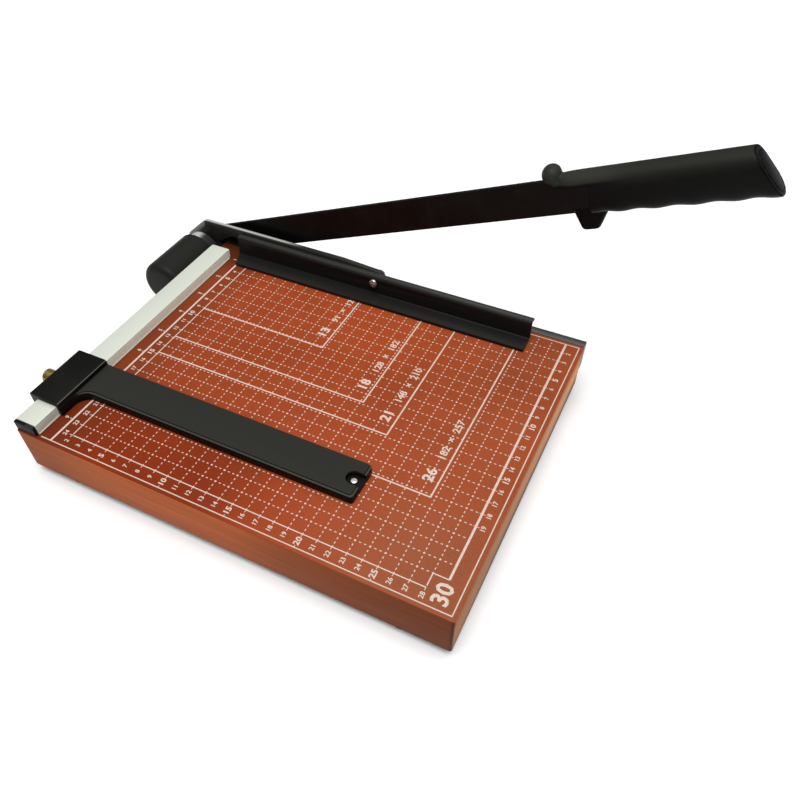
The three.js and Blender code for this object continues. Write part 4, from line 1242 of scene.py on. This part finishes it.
class CUTTER_OT_stop(bpy.types.Operator):
    """Make the paper stop with its saddle, arm, end screw and knurled thumbscrew"""

    bl_idname = "cutter.stop"
    bl_label = "Paper stop"
    bl_options = OPTIONS

    # The saddle, and the rail that it slides on with a gap round it
    left, right = -166.35, -140.05
    front, back = -99.5, -50.5
    low, roof = 36.4, 48.0
    rail = ((-160.75, 30), (-142.05, 30), (-142.05, 36.9), (-142.75, 36.9), (-142.75, 44.4),
            (-160.75, 44.4))

    # The arm, the pockets between its ribs and the recess of its screw
    arm_root, arm_end = -151, 74.15
    arm_front, arm_top = -78.4, 44.0
    arm_step = 1.2
    arm_corner, fillet = 2, 10
    wall, ribs = 2.2, 5
    end_screw = (68.15, -64.45)
    recess, recess_low = 5.2, 40

    # The thumbscrew's axis as (y, z), its head along x, its radius and its tip
    screw_axis = (-76, 40)
    head_start, head_end = -175.55, -168.75
    head_radius = 5.2
    tip = -160.65
    ridges = 36

    def arm(self, inset, low, high):
        """A layer of the arm, drawn in from its outline and filleted to the saddle."""
        edge, end = self.arm_front + inset, self.arm_end - inset
        side = edge - self.fillet - self.arm_corner
        outline = rounded([
            (self.arm_root, self.back), (self.arm_root, side), (self.right, side),
            (self.right, edge, self.fillet), (end, edge, self.arm_corner),
            (end, self.back, self.arm_corner)])
        return prism("z", outline, low, high)

    def body(self):
        """The saddle and the arm, hollowed between ribs below."""
        left, right, front, back = self.left, self.right, self.front, self.back
        low, roof, wall = self.low, self.roof, self.wall
        saddle = prism("y", rounded([
            (left, low), (right, low), (right, roof, 1.8), (left, roof, 1.8)]), front, back)
        eased(saddle, 0.45, 2, 60)
        under = eased(self.arm(0, low, self.arm_top - 1), 0.3, 2, 60)
        upper = eased(self.arm(self.arm_step, low + 0.5, self.arm_top), 0.9, 4, 60)
        combined(saddle, "UNION", under, upper)
        channel = prism("y", self.rail, front - 2, back + 2)
        cell = (self.arm_end - 14 - right - wall) / (self.ribs + 1)
        pockets = [
            prism("z", rectangle(
                right + wall + cell * i, self.arm_front + wall, right + cell * (i + 1),
                back - wall, 1), low - 2, self.arm_top - wall)
            for i in range(self.ribs + 1)]
        x, y = self.end_screw
        recess = rod("z", self.recess, self.recess_low, 50, self.end_screw)
        mouth = rectangle(x, y - self.recess, 80, y + self.recess)
        combined(recess, "UNION", prism("z", mouth, self.recess_low, 50))
        hole = rod("z", 1.5, 30, 50, self.end_screw, SMALL_ROUND)
        bush = rod("x", 3.2, left - 2, self.tip + GAP, self.screw_axis, SMALL_ROUND)
        return combined(saddle, "DIFFERENCE", channel, *pockets, recess, hole, bush)

    def thumbscrew(self, brass):
        """A head with a ring of knurled ridges, made about x and then moved."""
        start, end, reach, tip = self.head_start, self.head_end, self.head_radius, self.tip
        core = turned("x", [
            (start, 0), (start, 3.0), (start + 0.35, 3.4), (start + 0.35, 4.4),
            (start, 4.6), (start + 0.6, reach), (end - 0.6, reach), (end, 4.6), (end, 3.6),
            (end + 1.8, 3.6), (end + 1.8, 1.8), (tip, 1.8), (tip, 0)], steps=SMALL_ROUND)
        root, crest = reach - 0.5, reach + 0.37
        ridge = prism(
            "x", ((root, -0.42), (crest, 0), (root, 0.42)), start + 0.6, end - 0.6)
        ring = grown(ring_tree(), Shape=ridge, Count=self.ridges, Material=brass)
        knob = combined(core, "UNION", ring)
        knob.data.transform(Matrix.Translation((0, *self.screw_axis)))
        return knob

    def execute(self, context):
        plastic = finish(black_plastic)
        brass = finish(turned_brass)
        piece(self.body(), "stop_slide_body", "stop", plastic, ["stop_body"])
        dress(brass, "stop_insert")
        head = pin_head("z", 2.5, 1.4, 40.2, self.end_screw)
        shank = rod("z", 1.2, 36.7, 40.2, self.end_screw, SMALL_ROUND)
        piece(merged([head, shank]), "arm_end_screw", "stop",
              finish(bright_steel), ["stop_end_screw"])
        piece(self.thumbscrew(brass), "thumbscrew", "thumbscrew", brass,
              ["stop_thumbscrew"])
        return {"FINISHED"}


class CUTTER_OT_fasteners(bpy.types.Operator):
    """Make the countersunk screws of the strip, the rail and the bracket"""

    bl_idname = "cutter.fasteners"
    bl_label = "Screws"
    bl_options = OPTIONS

    head_radius, shank_radius = 3.8, 1.9
    length = 19

    def execute(self, context):
        steel = finish(bright_steel)
        tree = places_tree()
        for name, axis, face, way in (
                ("strip_screws", "y", 129.4, 1), ("rail_screws", "z", 0.3, -1),
                ("bracket_screws", "x", BOARD_LEFT + 0.3, -1)):
            nodes = sorted(n for n in NODES if n.startswith(name[:-1] + "_"))
            ends = sorted((face - way * 2, face - way * self.length))
            screw = merged([
                flush_head(axis, self.head_radius, face, way),
                rod(axis, self.shank_radius, *ends, steps=SMALL_ROUND)])
            screws = grown(tree, middles(nodes, axis), Shape=screw, Material=steel)
            piece(screws, name, "base", steel, nodes)
        return {"FINISHED"}


class CUTTER_OT_feet(bpy.types.Operator):
    """Make the four rubber feet and their screws"""

    bl_idname = "cutter.feet"
    bl_label = "Feet"
    bl_options = OPTIONS

    radius, well, hole = 7.5, 3.8, 2.0
    well_top = FLOOR + 3

    def execute(self, context):
        rubber, steel = finish(foot_rubber), finish(bright_steel)
        tree = places_tree()
        feet = [f"foot_{i}" for i in (1, 2, 3, 4)]
        places = middles(feet, "z")
        foot = turned("z", [
            (FLOOR, self.well), (FLOOR, 6.3), (FLOOR + 0.35, 6.95), (FLOOR + 1.2, 7.45),
            (FLOOR + 1.7, self.radius), (-GAP, self.radius), (-GAP, self.hole),
            (self.well_top, self.hole), (self.well_top, self.well)], steps=48)
        piece(grown(tree, places, Shape=foot, Material=rubber), "rubber_feet", "base",
              rubber, feet)
        screw = merged([
            pin_head("z", 3.2, -1.9, -3.3, (0, 0)), rod("z", 1.7, -3.3, 10, steps=SMALL_ROUND)])
        piece(grown(tree, places, Shape=screw, Material=steel), "feet_screws", "base",
              steel, [f"foot_screw_{i}" for i in (1, 2, 3, 4)])
        return {"FINISHED"}


class CUTTER_OT_stage(bpy.types.Operator):
    """Lay the pale floor, hang the soft light and set the camera"""

    bl_idname = "cutter.stage"
    bl_label = "Stage"
    bl_options = OPTIONS

    # In metres from the row's origin
    floor_half = 2.4
    light_place = (0.5, -0.62, 4.0)
    light_size = 3.3

    # In millimetres from the board's underside, with the camera's own axes
    eye = (210.49, -297.32, 390.89)
    right = (0.89153858, 0.4524244, -0.02170544)
    up = (-0.32581613, 0.67386153, 0.66313987)
    sensor = 36
    shift = (0.0294, 0.0426)

    def floor(self):
        """A plain paper floor under the feet."""
        half = self.floor_half
        floor = from_faces(
            [(-half, -half, 0), (half, -half, 0), (half, half, 0), (-half, half, 0)],
            [(0, 1, 2, 3)])
        floor.name = "floor"
        f = Finish("pale_floor")
        paper = f.noise(0.02, 2.0)
        floor.data.materials.append(
            f.done(f.mix(paper, (0.94, 0.94, 0.94), (0.96, 0.96, 0.96)), 0.6))
        floor.location.z = TO_ROW.translation.z + FLOOR * MM

    def world(self, context, settings):
        """Light that grows from the horizon to overhead, behind a plain white view."""
        world = bpy.data.worlds.new("studio")
        world.use_nodes = True
        context.scene.world = world
        nodes, link = world.node_tree.nodes, world.node_tree.links.new
        way = nodes.new("ShaderNodeSeparateXYZ")
        link(nodes.new("ShaderNodeTexCoord").outputs["Generated"], way.inputs[0])
        height = nodes.new("ShaderNodeMapRange")
        height.interpolation_type = "SMOOTHSTEP"
        for label, value in (
                ("From Min", 0.3), ("From Max", 1.0), ("To Min", settings.horizon),
                ("To Max", settings.overhead)):
            height.inputs[label].default_value = value
        link(way.outputs["Z"], height.inputs["Value"])
        seen = nodes.new("ShaderNodeMix")
        link(nodes.new("ShaderNodeLightPath").outputs["Is Camera Ray"], seen.inputs[0])
        link(height.outputs[0], seen.inputs[2])
        seen.inputs[3].default_value = 1.0
        link(seen.outputs[0], nodes["Background"].inputs["Strength"])
        nodes["Background"].inputs["Color"].default_value = (1, 1, 1, 1)

    def execute(self, context):
        settings = context.scene.cutter_stage
        self.floor()
        self.world(context, settings)
        lamp = bpy.data.lights.new("key", "AREA")
        lamp.shape = "DISK"
        lamp.size = self.light_size
        lamp.energy = settings.key
        light = shown(lamp, "key")
        light.location = self.light_place
        light.rotation_mode = "QUATERNION"
        light.rotation_quaternion = (-Vector(self.light_place)).to_track_quat("-Z", "Y")
        context.scene.view_settings.view_transform = "Standard"
        view = bpy.data.cameras.new("camera")
        view.sensor_width = self.sensor
        view.lens = settings.lens
        view.shift_x, view.shift_y = self.shift
        view.clip_start, view.clip_end = 0.01, 50
        camera = shown(view, "camera")
        right, up = Vector(self.right), Vector(self.up)
        turn = Matrix((right, up, right.cross(up))).transposed()
        camera.matrix_world = (
            Matrix.Translation(TO_ROW @ Vector(self.eye)) @ turn.to_4x4())
        context.scene.camera = camera
        return {"FINISHED"}


class CUTTER_PT_pieces(bpy.types.Panel):
    """Lists the steps that dress the cutter"""

    bl_idname = "CUTTER_PT_pieces"
    bl_label = "Paper Cutter"
    bl_space_type = "VIEW_3D"
    bl_region_type = "UI"
    bl_category = "Paper Cutter"

    def draw(self, context):
        for settings in ("cutter_print", "cutter_finish", "cutter_stage"):
            group = getattr(context.scene, settings)
            box = self.layout.box()
            for label in group.__annotations__:
                box.prop(group, label)
        for operator in OPERATORS:
            self.layout.operator(operator.bl_idname)


SETTINGS = {
    "cutter_print": CutterPrintSettings,
    "cutter_finish": CutterFinishSettings,
    "cutter_stage": CutterStageSettings,
}
OPERATORS = (
    CUTTER_OT_stage, CUTTER_OT_board, CUTTER_OT_print, CUTTER_OT_rail, CUTTER_OT_hinge,
    CUTTER_OT_blade, CUTTER_OT_handle, CUTTER_OT_clamp, CUTTER_OT_stop, CUTTER_OT_fasteners,
    CUTTER_OT_feet,
)


def register():
    for item in (*SETTINGS.values(), *OPERATORS, CUTTER_PT_pieces):
        bpy.utils.register_class(item)
    for name, item in SETTINGS.items():
        setattr(bpy.types.Scene, name, PointerProperty(type=item))


def unregister():
    for name in SETTINGS:
        delattr(bpy.types.Scene, name)
    for item in (CUTTER_PT_pieces, *OPERATORS[::-1], *SETTINGS.values()):
        bpy.utils.unregister_class(item)


def main():
    register()
    for operator in OPERATORS:
        group, name = operator.bl_idname.split(".")
        getattr(getattr(bpy.ops, group), name)()


if __name__ == "__main__":
    main()
